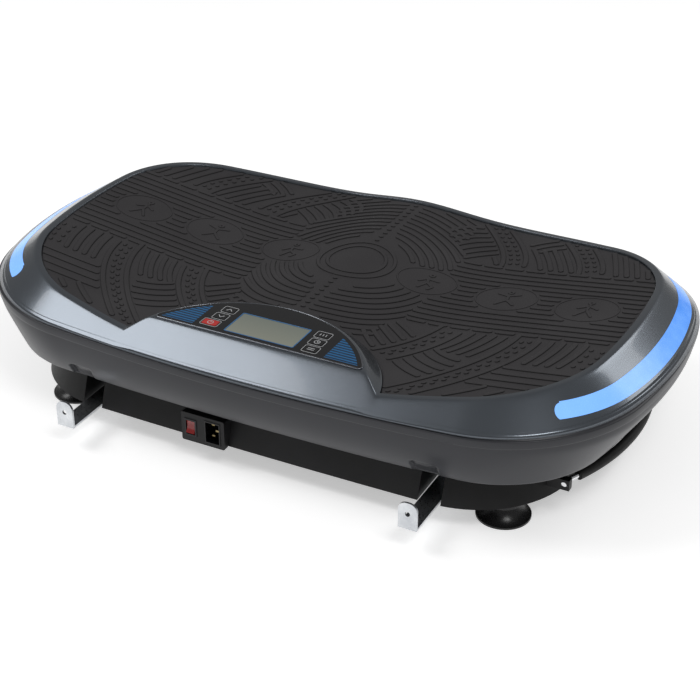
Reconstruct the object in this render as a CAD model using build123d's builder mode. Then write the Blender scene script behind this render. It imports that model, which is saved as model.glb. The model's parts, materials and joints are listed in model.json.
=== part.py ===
"""Vibration plate: a rocking deck on a low base with four suction feet.

The frame's origin lies on the floor under the middle of the overall box. +X runs along the deck,
+Y to the rear, +Z up. Millimetres.
"""
import os
from math import cos, exp, radians, sin, sqrt

from build123d import *

# ---- driving dimensions ----
HALF_LENGTH = 394.4      # half length of the case at the parting line
FRONT = -224.3           # middle of the case's front edge at the parting line
REAR = 245.0             # middle of the rear edge
END_RADIUS = 500.0       # bow of the two short ends at the parting line
RIM_END_RADIUS = 890.0   # the same at the rim and on the pan
FRONT_RADIUS = 9000.0    # bow of the front edge
REAR_RADIUS = 1500.0     # bow of the rear edge
PART_FRONT_RADIUS = 3800.0  # bow of the front at the rising parting line
PART_REAR_RADIUS = 1300.0   # bow of the rear at the rising parting line
CORNER = 160.0           # corner radius at the parting line
CORNER_TAPER = 1.375     # how far it shrinks per mm of height up the apron
APRON_FRONT = 1.38       # how far the apron leans in per mm of height, front
APRON_REAR = 0.95        # the same, rear
APRON_END = 1.60         # the same, short ends
PART_Z = 127.5           # parting line height in the middle
DECK_Z = 131.5           # top of the mat in the troughs beside the middle
HUMP = 17.0              # height of the ridge across the middle
HUMP_REACH = 75.0
MAT_THICK = 5.0
RIM_HIGH = 2.2           # the rim above the mat
RIM_W = 7.0              # width of the rim round the mat
SKIN = 3.2               # wall of the plastic covers
LOWER_Z = 66.0           # lower edge of the lower cover
PAN_Z = 28.0             # underside of the base pan
PAN_TOP = 62.0
PAN_HALF = 324.0
PAN_FRONT = -197.5
PAN_REAR = 223.0
PAN_LEAN = 12.0          # how far the pan's wall leans in over its height
CONSOLE_Z = 156.0        # top of the console
CONSOLE_R = 140.0        # arc of the console's panel
CONSOLE_Y = -243.0       # centre of that arc
CONE = 1.05              # how far the console's flank spreads per mm downwards
PIVOT_Z = 72.0           # rocking axis
FOOT_X = 265.0
FOOT_YS = (-140.0, 150.0)
FOOT_R = 29.0
BRACKET_X = 205.0
BRACKET_W = 20.7
BRACKET_T = 2.5
BRACKET_FRONT = -245.0
INLET_X = -55.0          # middle of the mains inlet panel
SHAFT_X = 120.0          # eccentric drive shaft
MOTOR_X = 205.0
SHAFT_Z = 66.0
STROKE = 2.4             # eccentricity of the drive shaft
HANDLE_X = 322.0         # hinge line of the carry handle
HANDLE_MID = 13.0
HANDLE_Z = 44.0
CUT_TALL = 300.0         # reach of cutting bodies beyond the case

os.makedirs("parts", exist_ok=True)


def keep(part, name):
    """Label a finished piece and write its file."""
    part.label = name
    export_step(part, "parts/" + name + ".step")


def deck_z(x):
    """Height of the mat's top along the length: raised ends and a soft ridge in the middle."""
    m = x / 1000.0
    return DECK_Z + 401.4 * m ** 2 - 894.6 * m ** 4 + HUMP * exp(-(x / HUMP_REACH) ** 2)


def part_z(x):
    """Height of the parting line along the length."""
    return PART_Z + 70.0 * (x / 1000.0) ** 2


def outline(half, front, rear, corner, mode=Mode.ADD, bows=(FRONT_RADIUS, REAR_RADIUS),
            end_radius=RIM_END_RADIUS):
    """Closed plan outline: four bowed edges joined by round corners tangent to them."""
    middle = (front + rear) / 2
    end_centre = Vector(half - end_radius, middle)
    turns = []
    for edge_y, away, radius in ((front, 1, bows[0]), (rear, -1, bows[1])):
        long_centre = Vector(0, edge_y + away * radius)
        gap = long_centre - end_centre
        along = gap.normalized()
        reach = ((end_radius - corner) ** 2 - (radius - corner) ** 2 + gap.length ** 2) / (2 * gap.length)
        across = sqrt((end_radius - corner) ** 2 - reach ** 2)
        centre = end_centre + along * reach + Vector(along.Y, -along.X) * (away * across)
        on_end = end_centre + (centre - end_centre).normalized() * end_radius
        on_long = long_centre + (centre - long_centre).normalized() * radius
        middle_way = centre + (on_end + on_long - centre * 2).normalized() * corner
        turns.append((on_long, middle_way, on_end))
    (f0, f1, f2), (r0, r1, r2) = turns
    flip = lambda p: Vector(-p.X, p.Y)
    with BuildLine() as edge:
        ThreePointArc(flip(f0), (0, front), f0)
        ThreePointArc(f0, f1, f2)
        ThreePointArc(f2, (half, middle), r2)
        ThreePointArc(r2, r1, r0)
        ThreePointArc(r0, (0, rear), flip(r0))
        ThreePointArc(flip(r0), flip(r1), flip(r2))
        ThreePointArc(flip(r2), (-half, middle), flip(f2))
        ThreePointArc(flip(f2), flip(f1), flip(f0))
    make_face(edge.edges(), mode=mode)


def apron_outline(z, inset=0.0):
    """Plan outline of the sloping apron at height z, moved in by inset."""
    up = z - PART_Z
    up_end = z - part_z(HALF_LENGTH)
    bow = END_RADIUS + 11.0 * (up_end + 5.0)
    outline(HALF_LENGTH - APRON_END * up_end - inset, FRONT + APRON_FRONT * up + inset,
            REAR - APRON_REAR * up - inset, CORNER - CORNER_TAPER * (up_end + 4.0) - 0.5 * inset, end_radius=bow)


def lower_outline(drop, end_drop, inset=0.0, mode=Mode.ADD):
    """Plan outline of the lower cover, drawn in by drop in front and end_drop at the ends."""
    outline(HALF_LENGTH - end_drop - inset, FRONT + drop + inset, REAR - drop - inset,
            CORNER - 2.4 * drop - 0.5 * inset, mode, (PART_FRONT_RADIUS, PART_REAR_RADIUS), END_RADIUS)


def pan_outline(z, inset=0.0, mode=Mode.ADD):
    """Plan outline of the base pan's wall at height z."""
    lean = PAN_LEAN * (z - PAN_Z) / (PAN_TOP - PAN_Z)
    outline(PAN_HALF - lean - inset, PAN_FRONT + lean + inset, PAN_REAR - lean - inset,
            115.0 - 0.5 * lean - 0.5 * inset, mode)


def band(low, high, reach=420.0):
    """Front-view profile between two curves of height over length."""
    xs = [reach * (k / 18.0) for k in range(-18, 19)]
    with BuildLine() as edge:
        a = Spline(*[(x, low(x)) for x in xs])
        b = Spline(*[(x, high(x)) for x in xs])
        Line(a @ 0, b @ 0)
        Line(a @ 1, b @ 1)
    make_face(edge.edges())


def frustum(inset):
    """The apron's leaning body, moved in by inset."""
    with BuildPart() as body:
        for z in (120, 180):
            with BuildSketch(Plane.XY.offset(z)):
                apron_outline(z, inset)
        loft()
    return body.part


def cone(grow, low, high):
    """The console's leaning round body between two heights, its radius grown by grow."""
    with BuildPart() as body:
        for z in (low, high):
            with BuildSketch(Plane.XY.offset(z)):
                with Locations((0, CONSOLE_Y)):
                    Circle(CONSOLE_R + CONE * (CONSOLE_Z - z) + grow)
        loft()
    return body.part


# ---- mat: grey rubber, follows the deck ----
with BuildPart() as mat:
    add(frustum(RIM_W + 0.2))
    with BuildSketch(Plane.XZ):
        band(lambda x: deck_z(x) - MAT_THICK, deck_z)
    extrude(amount=CUT_TALL, both=True, mode=Mode.INTERSECT)
    add(cone(0.5, 110, CONSOLE_Z), mode=Mode.SUBTRACT)
keep(mat.part, "mat")

apron_body = frustum(0.0)
apron_inner = frustum(SKIN + 2)

# ---- console: raised block, a leaning cone cut off by the apron ----
with BuildPart() as console_block:
    add(cone(0.0, 110, CONSOLE_Z))
    add(apron_body, mode=Mode.INTERSECT)
    with BuildSketch(Plane.XZ):
        band(lambda x: deck_z(x) - MAT_THICK - SKIN, lambda x: 200.0)
    extrude(amount=CUT_TALL, both=True, mode=Mode.INTERSECT)

with BuildPart() as console_hollow:
    add(cone(-SKIN - 2, 100, CONSOLE_Z - SKIN))
    add(apron_inner, mode=Mode.INTERSECT)

# the panel on the console: D shaped, 1.2 deep recess for the overlay
PANEL_R = CONSOLE_R - 3.0
PANEL_FRONT = -182.5
LCD_Y = -156.0
LCD_W = 80.0
LCD_D = 40.0
OVERLAY_T = 1.2
BUTTONS = {
    "button_up": (-57.0, -137.0, 14.0, 11.0),
    "button_down": (-58.5, -153.0, 14.0, 11.0),
    "button_start": (-61.5, -169.0, 18.0, 11.0),
    "button_mode": (57.0, -140.0, 15.0, 11.0),
    "button_time": (58.0, -155.5, 15.0, 11.0),
    "button_program": (59.0, -171.0, 15.0, 11.0),
}


def panel_outline(inset=0.0):
    """D outline of the console's panel: an arc closed by the front edge, tips rounded."""
    r = PANEL_R - inset
    y = PANEL_FRONT + inset
    x = sqrt(r ** 2 - (y - CONSOLE_Y) ** 2)
    with BuildLine() as edge:
        Line((-x, y), (x, y))
        ThreePointArc((x, y), (0, CONSOLE_Y + r), (-x, y))
    face = make_face(edge.edges())
    fillet(face.vertices(), 4.0)


# ---- light strips in the two end aprons ----
STRIP_LOW = 144.5        # apron heights between which a strip lies
STRIP_HIGH = 155.0
STRIP_REAR = 154.5
STRIP_TIP = (325.0, -155.0)  # middle of a strip's round front end
STRIP_ANGLE = 46.0       # heading of the strip there
STRIP_T = 2.2


def strip(outer, inner, low, high, more):
    """One light strip: a slice of the apron's skin between two heights and two ends."""
    shell = frustum(outer)
    core = frustum(inner)
    with BuildPart() as body:
        add(shell)
        add(core, mode=Mode.SUBTRACT)
        aside = Vector(-sin(radians(STRIP_ANGLE)), cos(radians(STRIP_ANGLE))) * 25
        tip = Vector(*STRIP_TIP)
        with BuildSketch(Plane.XY.offset(low)):
            with BuildLine() as edge:
                Polyline(tip + aside, tip - aside, (450, -60), (450, STRIP_REAR + more), (250, STRIP_REAR + more),
                         (250, 0), close=True)
            make_face(edge.edges())
            with Locations(tip):
                Circle(7.8 + more)
        extrude(amount=high - low, mode=Mode.INTERSECT)
    return body.part


strip_slot = strip(-2.0, SKIN + 4.0, STRIP_LOW - 0.3, STRIP_HIGH + 0.3, 0.3)
led_lens_right = strip(-0.3, STRIP_T, STRIP_LOW, STRIP_HIGH, 0.0)

# ---- top cover: apron, rim and console in one moulding ----
with BuildPart() as cover_hollow:
    add(apron_inner)
    with BuildSketch(Plane.XZ):
        band(lambda x: 80.0, lambda x: deck_z(x) - MAT_THICK - SKIN)
    extrude(amount=CUT_TALL, both=True, mode=Mode.INTERSECT)

with BuildPart() as mat_pocket:
    add(frustum(RIM_W))
    with BuildSketch(Plane.XZ):
        band(lambda x: deck_z(x) - MAT_THICK, lambda x: deck_z(x) + 20)
    extrude(amount=CUT_TALL, both=True, mode=Mode.INTERSECT)
    add(cone(0.0, 110, CONSOLE_Z), mode=Mode.SUBTRACT)

with BuildPart() as top_cover:
    add(apron_body)
    with BuildSketch(Plane.XZ):
        band(part_z, lambda x: deck_z(x) + RIM_HIGH)
    extrude(amount=CUT_TALL, both=True, mode=Mode.INTERSECT)
    add(mat_pocket.part, mode=Mode.SUBTRACT)
    add(cover_hollow.part, mode=Mode.SUBTRACT)
    add(console_block.part)
    add(console_hollow.part, mode=Mode.SUBTRACT)
    add(strip_slot, mode=Mode.SUBTRACT)
    add(strip_slot.mirror(Plane.YZ), mode=Mode.SUBTRACT)
    with BuildSketch(Plane.XY.offset(CONSOLE_Z - OVERLAY_T)):
        panel_outline()
    extrude(amount=20, mode=Mode.SUBTRACT)
    with BuildSketch(Plane.XY.offset(140)):
        with Locations((0, LCD_Y)):
            Rectangle(LCD_W - 4, LCD_D - 4)
        for bx, by, bw, bd in BUTTONS.values():
            with Locations((bx, by)):
                RectangleRounded(bw - 1.4, bd - 1.4, 2)
    extrude(amount=20, mode=Mode.SUBTRACT)
keep(top_cover.part, "top_cover")
keep(led_lens_right, "led_lens_right")
keep(led_lens_right.mirror(Plane.YZ), "led_lens_left")

# ---- circuit strips behind the lenses ----
board_right = strip(STRIP_T + 0.4, STRIP_T + 1.6, STRIP_LOW + 1.5, STRIP_HIGH - 1.5, -6.0)
keep(board_right, "led_board_right")
keep(board_right.mirror(Plane.YZ), "led_board_left")

# ---- console: overlay, window, display, keys and their board ----
with BuildPart() as overlay:
    with BuildSketch(Plane.XY.offset(CONSOLE_Z - OVERLAY_T)):
        panel_outline(0.2)
        with Locations((0, LCD_Y)):
            Rectangle(LCD_W, LCD_D, mode=Mode.SUBTRACT)
        for bx, by, bw, bd in BUTTONS.values():
            with Locations((bx, by)):
                RectangleRounded(bw, bd, 2, mode=Mode.SUBTRACT)
    extrude(amount=OVERLAY_T + 0.1)
keep(overlay.part, "console_overlay")

with BuildPart() as lcd_window:
    with BuildSketch(Plane.XY.offset(CONSOLE_Z - OVERLAY_T)):
        with Locations((0, LCD_Y)):
            Rectangle(LCD_W - 0.2, LCD_D - 0.2)
    extrude(amount=OVERLAY_T)
keep(lcd_window.part, "lcd_window")

with BuildPart() as lcd_module:
    with BuildSketch(Plane.XY.offset(CONSOLE_Z - OVERLAY_T - 4.0)):
        with Locations((0, LCD_Y)):
            Rectangle(LCD_W - 6, LCD_D - 6)
    extrude(amount=3.8)
keep(lcd_module.part, "lcd_module")

BOARD_Z = 146.0
with BuildPart() as console_board:
    with BuildSketch(Plane.XY.offset(BOARD_Z)):
        with Locations((0, LCD_Y)):
            Rectangle(150, 48)
            with GridLocations(138, 36, 2, 2):
                Circle(1.6, mode=Mode.SUBTRACT)
    extrude(amount=1.6)
    with BuildSketch(Plane.XY.offset(BOARD_Z + 1.6)):
        with Locations((0, LCD_Y)):
            Rectangle(60, 24)
    extrude(amount=2.6)
keep(console_board.part, "console_board")

KEY_GAP = 0.35
for key, (bx, by, bw, bd) in BUTTONS.items():
    with BuildPart() as button:
        with BuildSketch(Plane.XY.offset(CONSOLE_Z - OVERLAY_T + 0.8)):
            with Locations((bx, by)):
                RectangleRounded(bw - 2 * KEY_GAP, bd - 2 * KEY_GAP, 1.6)
        extrude(amount=OVERLAY_T - 0.3)
        with BuildSketch(Plane.XY.offset(BOARD_Z + 3.0)):
            with Locations((bx, by)):
                Rectangle(bw - 4, bd - 4)
        extrude(amount=CONSOLE_Z - OVERLAY_T + 0.8 - BOARD_Z - 3.0)
    keep(button.part, key)

# ---- lower cover: bulging skirt, open underneath around the pan ----
LOWER_LEVELS = ((LOWER_Z, 17.5, 35.7), (80.0, 9.0, 26.2), (98.0, 2.5, 13.8), (118.0, 0.0, 0.0), (150.0, 0.0, 0.0))
NOTCH_W = 25.0
NOTCH_TOP = 85.0
RIB_PITCH = 11.5
with BuildPart() as grip_ribs:
    for z, drop, end_drop in LOWER_LEVELS:
        with BuildSketch(Plane.XY.offset(z)):
            lower_outline(drop, end_drop, -2.2)
    loft()
    with BuildSketch(Plane.XY.offset(LOWER_Z + 2)):
        for side in (-1, 1):
            for k in range(10):
                with Locations((side * 372.0, 31.5 + (k - 4.5) * RIB_PITCH)):
                    RectangleRounded(36, 5, 2)
    extrude(amount=18, mode=Mode.INTERSECT)
with BuildPart() as lower_cover:
    for z, drop, end_drop in LOWER_LEVELS:
        with BuildSketch(Plane.XY.offset(z)):
            lower_outline(drop, end_drop)
    loft()
    with BuildSketch(Plane.XZ):
        band(lambda x: 0.0, lambda x: part_z(x) - 1.5)
    extrude(amount=CUT_TALL, both=True, mode=Mode.INTERSECT)
    add(grip_ribs.part)
with BuildPart() as lower_hollow:
    for z, drop, end_drop in LOWER_LEVELS:
        with BuildSketch(Plane.XY.offset(z)):
            lower_outline(drop, end_drop, SKIN)
    loft()
    with BuildSketch(Plane.XZ):
        band(lambda x: LOWER_Z + SKIN, lambda x: 200.0)
    extrude(amount=CUT_TALL, both=True, mode=Mode.INTERSECT)
TONGUE_OUT = 10.4        # the tongue that closes the parting gap, inside the apron
TONGUE_IN = 12.4
with BuildPart() as tongue:
    with BuildSketch(Plane.XY.offset(100)):
        lower_outline(0, 0, TONGUE_OUT)
        lower_outline(0, 0, TONGUE_IN, mode=Mode.SUBTRACT)
    extrude(amount=60)
    with BuildSketch(Plane.XY.offset(100)):
        lower_outline(0, 0, 2.0)
        lower_outline(0, 0, TONGUE_IN, mode=Mode.SUBTRACT)
    extrude(amount=PART_Z - 4 - 100)
    with BuildSketch(Plane.XZ):
        band(lambda x: part_z(x) - 14, lambda x: part_z(x) + 1.2)
    extrude(amount=CUT_TALL, both=True, mode=Mode.INTERSECT)
NOTCH_BACK = -199.0      # rear wall of the two recesses above the brackets
with BuildPart() as notch_box:
    for side in (-1, 1):
        with BuildSketch(Plane.XY.offset(LOWER_Z - 1)):
            with Locations((side * BRACKET_X, NOTCH_BACK - 20)):
                Rectangle(NOTCH_W, 40)
        extrude(amount=NOTCH_TOP - LOWER_Z + 1)
with BuildPart() as notch_walls:
    for side in (-1, 1):
        with BuildSketch(Plane.XY.offset(LOWER_Z)):
            with Locations((side * BRACKET_X, NOTCH_BACK - 18)):
                Rectangle(NOTCH_W + 4, 40)
        extrude(amount=NOTCH_TOP + 2 - LOWER_Z)
    add(lower_cover.part, mode=Mode.INTERSECT)
with BuildPart() as skirt:
    add(lower_cover.part)
    add(lower_hollow.part, mode=Mode.SUBTRACT)
    with BuildSketch(Plane.XY.offset(LOWER_Z - 5)):
        outline(PAN_HALF - 6.0, PAN_FRONT + 6.0, PAN_REAR - 6.0, 100.0)
    extrude(amount=20, mode=Mode.SUBTRACT)
    add(notch_walls.part)
    add(notch_box.part, mode=Mode.SUBTRACT)
    add(tongue.part)
keep(skirt.part, "lower_cover")

# ---- rocking frame: steel plate under the deck, stiffening ribs, hangers and yokes ----
FRAME_Z = 106.0
FRAME_T = 3.0
PIVOT_YS = (-85.5, 144.5)
YOKE_YS = (-20.5, 79.5)
RIB_YS = (-65.5, 44.5, 164.5)
POST_XS = (-270.0, -90.0, 90.0, 270.0)
with BuildPart() as platform_frame:
    with BuildSketch(Plane.XY.offset(FRAME_Z)):
        with Locations((0, 34.5)):
            RectangleRounded(600, 310, 40)
        with Locations((-180, 44.5), (200, 44.5)):
            RectangleRounded(100, 60, 15, mode=Mode.SUBTRACT)
    extrude(amount=FRAME_T)
keep(platform_frame.part, "platform_frame")

with BuildPart() as deck_ribs:
    for y in RIB_YS:
        with BuildSketch(Plane.XZ.offset(-y)):
            with Locations((0, 130)):
                Rectangle(560, 80)
        extrude(amount=2.0, both=True)
    with BuildSketch(Plane.XZ):
        band(lambda x: FRAME_Z + FRAME_T, lambda x: deck_z(x) - MAT_THICK - SKIN)
    extrude(amount=CUT_TALL, both=True, mode=Mode.INTERSECT)
keep(deck_ribs.part, "deck_ribs")

BOLT_R = 3.0
with BuildPart() as frame_bolts:
    for x in POST_XS:
        for y in (RIB_YS[0], RIB_YS[2]):
            with BuildSketch(Plane.XY.offset(FRAME_Z - 4.0)):
                with Locations((x, y + 14)):
                    RegularPolygon(5.0, 6)
            extrude(amount=4.0)
keep(frame_bolts.part, "frame_bolts")

PIN_R = 6.0
RUN_FIT = 0.05
HANGER_T = 6.0
STAND_T = 4.0
PAN_FLOOR = 2.5
floor_z = PAN_Z + PAN_FLOOR
for name, y, away in (("front", PIVOT_YS[0], -1), ("rear", PIVOT_YS[1], 1)):
    with BuildPart() as hanger:
        with BuildSketch(Plane.XZ.offset(-y)):
            with BuildLine() as edge:
                Polyline((-30, FRAME_Z), (-16, PIVOT_Z - 4), (16, PIVOT_Z - 4), (30, FRAME_Z), close=True)
            make_face()
            with Locations((0, PIVOT_Z)):
                Circle(16)
                Circle(PIN_R + RUN_FIT, mode=Mode.SUBTRACT)
        extrude(amount=HANGER_T / 2, both=True)
    keep(hanger.part, "pivot_hanger_" + name)
    with BuildPart() as stand:
        for gap in (-1, 1):
            with BuildSketch(Plane.XZ.offset(-(y + gap * (HANGER_T / 2 + STAND_T / 2 + 1.0)))):
                with Locations((0, (floor_z + PIVOT_Z) / 2)):
                    Rectangle(44, PIVOT_Z - floor_z)
                with Locations((0, PIVOT_Z)):
                    Circle(15)
                    Circle(PIN_R, mode=Mode.SUBTRACT)
            extrude(amount=STAND_T / 2, both=True)
        with BuildSketch(Plane.XY.offset(floor_z)):
            with Locations((0, y)):
                Rectangle(70, HANGER_T + 2 * STAND_T + 2)
        extrude(amount=STAND_T)
    keep(stand.part, "pivot_stand_" + name)
    with BuildPart() as pin:
        with BuildSketch(Plane.XZ.offset(-y)):
            with Locations((0, PIVOT_Z)):
                Circle(PIN_R)
        extrude(amount=HANGER_T / 2 + STAND_T + 1 + 2, both=True)
    keep(pin.part, "pivot_pin_" + name)

# ---- drive: motor, belt, eccentric shaft and the yokes it works in ----
SHAFT_R = 8.0
CAM_R = 14.0
BEARING_R = 21.0
YOKE_CLEAR = 1.0
YOKE_T = 10.0
BLOCK_YS = (-45.5, 106.5)
PULLEY_Y = -69.5
PULLEY_W = 12.0
BIG_R = 30.0
SMALL_R = 11.0
with BuildPart() as shaft:
    with BuildSketch(Plane.XZ.offset(-(PULLEY_Y - 8))):
        with Locations((SHAFT_X, SHAFT_Z)):
            Circle(SHAFT_R)
    extrude(amount=-(BLOCK_YS[1] + 10 - (PULLEY_Y - 8)))
    for y in YOKE_YS:
        with BuildSketch(Plane.XZ.offset(-y)):
            with Locations((SHAFT_X + STROKE, SHAFT_Z)):
                Circle(CAM_R)
        extrude(amount=YOKE_T / 2, both=True)
keep(shaft.part, "eccentric_shaft")

with BuildPart() as cam_bearings:
    for y in YOKE_YS:
        with BuildSketch(Plane.XZ.offset(-y)):
            with Locations((SHAFT_X + STROKE, SHAFT_Z)):
                Circle(BEARING_R)
                Circle(CAM_R, mode=Mode.SUBTRACT)
        extrude(amount=YOKE_T / 2 - 0.5, both=True)
keep(cam_bearings.part, "cam_bearings")

with BuildPart() as drive_pulley:
    with BuildSketch(Plane.XZ.offset(-PULLEY_Y)):
        with Locations((SHAFT_X, SHAFT_Z)):
            Circle(BIG_R)
            Circle(SHAFT_R, mode=Mode.SUBTRACT)
    extrude(amount=PULLEY_W / 2, both=True)
keep(drive_pulley.part, "drive_pulley")

for name, y in zip(("front", "rear"), YOKE_YS):
    with BuildPart() as yoke:
        with BuildSketch(Plane.XZ.offset(-y)):
            with Locations((SHAFT_X, (FRAME_Z + SHAFT_Z - 29) / 2)):
                Rectangle(70, FRAME_Z - SHAFT_Z + 29)
            with Locations((SHAFT_X, SHAFT_Z)):
                SlotOverall(2 * (BEARING_R + STROKE + YOKE_CLEAR), 2 * (BEARING_R + YOKE_CLEAR), mode=Mode.SUBTRACT)
        extrude(amount=YOKE_T / 2, both=True)
    keep(yoke.part, "yoke_" + name)

for name, y in zip(("front", "rear"), BLOCK_YS):
    with BuildPart() as block:
        with BuildSketch(Plane.XZ.offset(-y)):
            with Locations((SHAFT_X, (floor_z + SHAFT_Z) / 2)):
                Rectangle(44, SHAFT_Z - floor_z)
            with Locations((SHAFT_X, SHAFT_Z)):
                Circle(18)
                Circle(SHAFT_R + RUN_FIT, mode=Mode.SUBTRACT)
            with Locations((SHAFT_X, floor_z + 3)):
                Rectangle(76, 6)
        extrude(amount=7.0, both=True)
    keep(block.part, "shaft_block_" + name)

MOTOR_R = 30.0
MOTOR_YS = (-51.5, 64.5)
ROTOR_R = 22.0
MOTOR_SHAFT_R = 5.0
motor_plane = Plane.XZ.offset(-MOTOR_YS[0])
motor_len = MOTOR_YS[1] - MOTOR_YS[0]
with BuildPart() as motor_case:
    with BuildSketch(motor_plane):
        with Locations((MOTOR_X, SHAFT_Z)):
            Circle(MOTOR_R)
    extrude(amount=-motor_len)
    with BuildSketch(motor_plane.offset(-5)):
        with Locations((MOTOR_X, SHAFT_Z)):
            Circle(MOTOR_R - 4)
    extrude(amount=-(motor_len - 10), mode=Mode.SUBTRACT)
    with BuildSketch(motor_plane):
        with Locations((MOTOR_X, SHAFT_Z)):
            Circle(MOTOR_SHAFT_R + RUN_FIT)
    extrude(amount=-5, mode=Mode.SUBTRACT)
keep(motor_case.part, "motor_case")

with BuildPart() as motor_rotor:
    with BuildSketch(motor_plane.offset(28)):
        with Locations((MOTOR_X, SHAFT_Z)):
            Circle(MOTOR_SHAFT_R)
    extrude(amount=-(28 + motor_len - 12))
    with BuildSketch(motor_plane.offset(-14)):
        with Locations((MOTOR_X, SHAFT_Z)):
            Circle(ROTOR_R)
    extrude(amount=-(motor_len - 34))
keep(motor_rotor.part, "motor_rotor")

with BuildPart() as motor_pulley:
    with BuildSketch(Plane.XZ.offset(-PULLEY_Y)):
        with Locations((MOTOR_X, SHAFT_Z)):
            Circle(SMALL_R)
            Circle(MOTOR_SHAFT_R, mode=Mode.SUBTRACT)
    extrude(amount=PULLEY_W / 2, both=True)
keep(motor_pulley.part, "motor_pulley")

with BuildPart() as motor_cradle:
    with BuildSketch(Plane.XY.offset(floor_z)):
        with Locations((MOTOR_X, (MOTOR_YS[0] + MOTOR_YS[1]) / 2)):
            Rectangle(76, 90)
    extrude(amount=9)
    with BuildSketch(motor_plane):
        with Locations((MOTOR_X, SHAFT_Z)):
            Circle(MOTOR_R)
    extrude(amount=-motor_len, mode=Mode.SUBTRACT)
keep(motor_cradle.part, "motor_cradle")

BELT_GAP = 0.3
BELT_T = 2.2


def belt_loop(grow, mode=Mode.ADD):
    """Outline of the belt round both pulleys, grown by grow."""
    with BuildSketch(mode=Mode.PRIVATE) as loop:
        with Locations((SHAFT_X, SHAFT_Z)):
            Circle(BIG_R + grow)
        with Locations((MOTOR_X, SHAFT_Z)):
            Circle(SMALL_R + grow)
        make_hull()
    add(loop.sketch, mode=mode)


with BuildPart() as belt:
    with BuildSketch(Plane.XZ.offset(-PULLEY_Y)):
        belt_loop(BELT_GAP + BELT_T)
        belt_loop(BELT_GAP, Mode.SUBTRACT)
    extrude(amount=4.0, both=True)
keep(belt.part, "drive_belt")

# ---- base pan: black tray with leaning wall, floor holes for the feet ----
FEET = [(side * FOOT_X, y) for side in (-1, 1) for y in FOOT_YS]
INLET_W = 53.0
INLET_H = 35.0
INLET_Z = 43.5
INLET_FACE = -204.5
BRACKET_BACK = -140.0    # rear wall of the two slots that the brackets run into
SLOT_W = 25.0
with BuildPart() as pan_hollow:
    for z in (floor_z, PAN_TOP + 1):
        with BuildSketch(Plane.XY.offset(z)):
            pan_outline(z, 2.5)
    loft()
    with BuildSketch(Plane.XY.offset(PAN_Z)):
        for side in (-1, 1):
            with Locations((side * BRACKET_X, BRACKET_BACK - 37.5)):
                Rectangle(SLOT_W + 5, 80)
    extrude(amount=50, mode=Mode.SUBTRACT)
with BuildPart() as base_pan:
    for z in (PAN_Z, PAN_TOP):
        with BuildSketch(Plane.XY.offset(z)):
            pan_outline(z)
    loft()
    add(pan_hollow.part, mode=Mode.SUBTRACT)
    with BuildSketch(Plane.XY.offset(PAN_Z)):
        for side in (-1, 1):
            with Locations((side * BRACKET_X, BRACKET_BACK - 40)):
                Rectangle(SLOT_W, 80)
    extrude(amount=50, mode=Mode.SUBTRACT)
    with BuildSketch(Plane.XY.offset(PAN_Z)):
        with Locations(*FEET):
            Circle(4.0)
    extrude(amount=PAN_FLOOR, mode=Mode.SUBTRACT)
    with BuildSketch(Plane.XZ.offset(-PAN_FRONT - 20)):
        with Locations((INLET_X, INLET_Z)):
            Rectangle(INLET_W - 5, INLET_H - 5)
    extrude(amount=40, mode=Mode.SUBTRACT)
keep(base_pan.part, "base_pan")

# ---- mains inlet: panel, socket with three pins, rocker switch ----
SOCKET_X = INLET_X + 12.0
SWITCH_X = INLET_X - 15.0
SOCKET_W = 16.5
SOCKET_H = 24.5
SWITCH_W = 13.0
SWITCH_H = 19.0
with BuildPart() as pan_core:
    with BuildSketch(Plane.XY.offset(PAN_Z - 10)):
        pan_outline(PAN_Z - 10, -0.1)
    with BuildSketch(Plane.XY.offset(PAN_TOP + 10)):
        pan_outline(PAN_TOP + 10, -0.1)
    loft()
with BuildPart() as inlet_panel:
    with BuildSketch(Plane.XZ.offset(-INLET_FACE)):
        with Locations((INLET_X, INLET_Z)):
            RectangleRounded(INLET_W, INLET_H, 2)
        with Locations((SOCKET_X, INLET_Z)):
            Rectangle(SOCKET_W + 3, SOCKET_H + 3, mode=Mode.SUBTRACT)
        with Locations((SWITCH_X, INLET_Z)):
            Rectangle(SWITCH_W + 2, SWITCH_H + 2, mode=Mode.SUBTRACT)
    extrude(amount=-16)
    add(pan_core.part, mode=Mode.SUBTRACT)
keep(inlet_panel.part, "inlet_panel")

with BuildPart() as inlet_socket:
    with BuildSketch(Plane.XZ.offset(-INLET_FACE + 0.6)):
        with Locations((SOCKET_X, INLET_Z)):
            Rectangle(SOCKET_W + 2.8, SOCKET_H + 2.8)
    extrude(amount=-22)
    with BuildSketch(Plane.XZ.offset(-INLET_FACE + 0.6)):
        with Locations((SOCKET_X, INLET_Z)):
            Rectangle(SOCKET_W, SOCKET_H)
    extrude(amount=-17, mode=Mode.SUBTRACT)
keep(inlet_socket.part, "inlet_socket")

with BuildPart() as inlet_pins:
    with BuildSketch(Plane.XZ.offset(-INLET_FACE - 6)):
        with Locations((SOCKET_X - 2.5, INLET_Z - 7), (SOCKET_X + 2.5, INLET_Z), (SOCKET_X - 2.5, INLET_Z + 7)):
            Rectangle(4.0, 2.0)
    extrude(amount=-10.4)
keep(inlet_pins.part, "inlet_pins")

with BuildPart() as switch_frame:
    with BuildSketch(Plane.XZ.offset(-INLET_FACE + 0.8)):
        with Locations((SWITCH_X, INLET_Z)):
            Rectangle(SWITCH_W + 1.8, SWITCH_H + 1.8)
            Rectangle(SWITCH_W - 2.0, SWITCH_H - 2.0, mode=Mode.SUBTRACT)
    extrude(amount=-20)
keep(switch_frame.part, "switch_frame")

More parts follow.
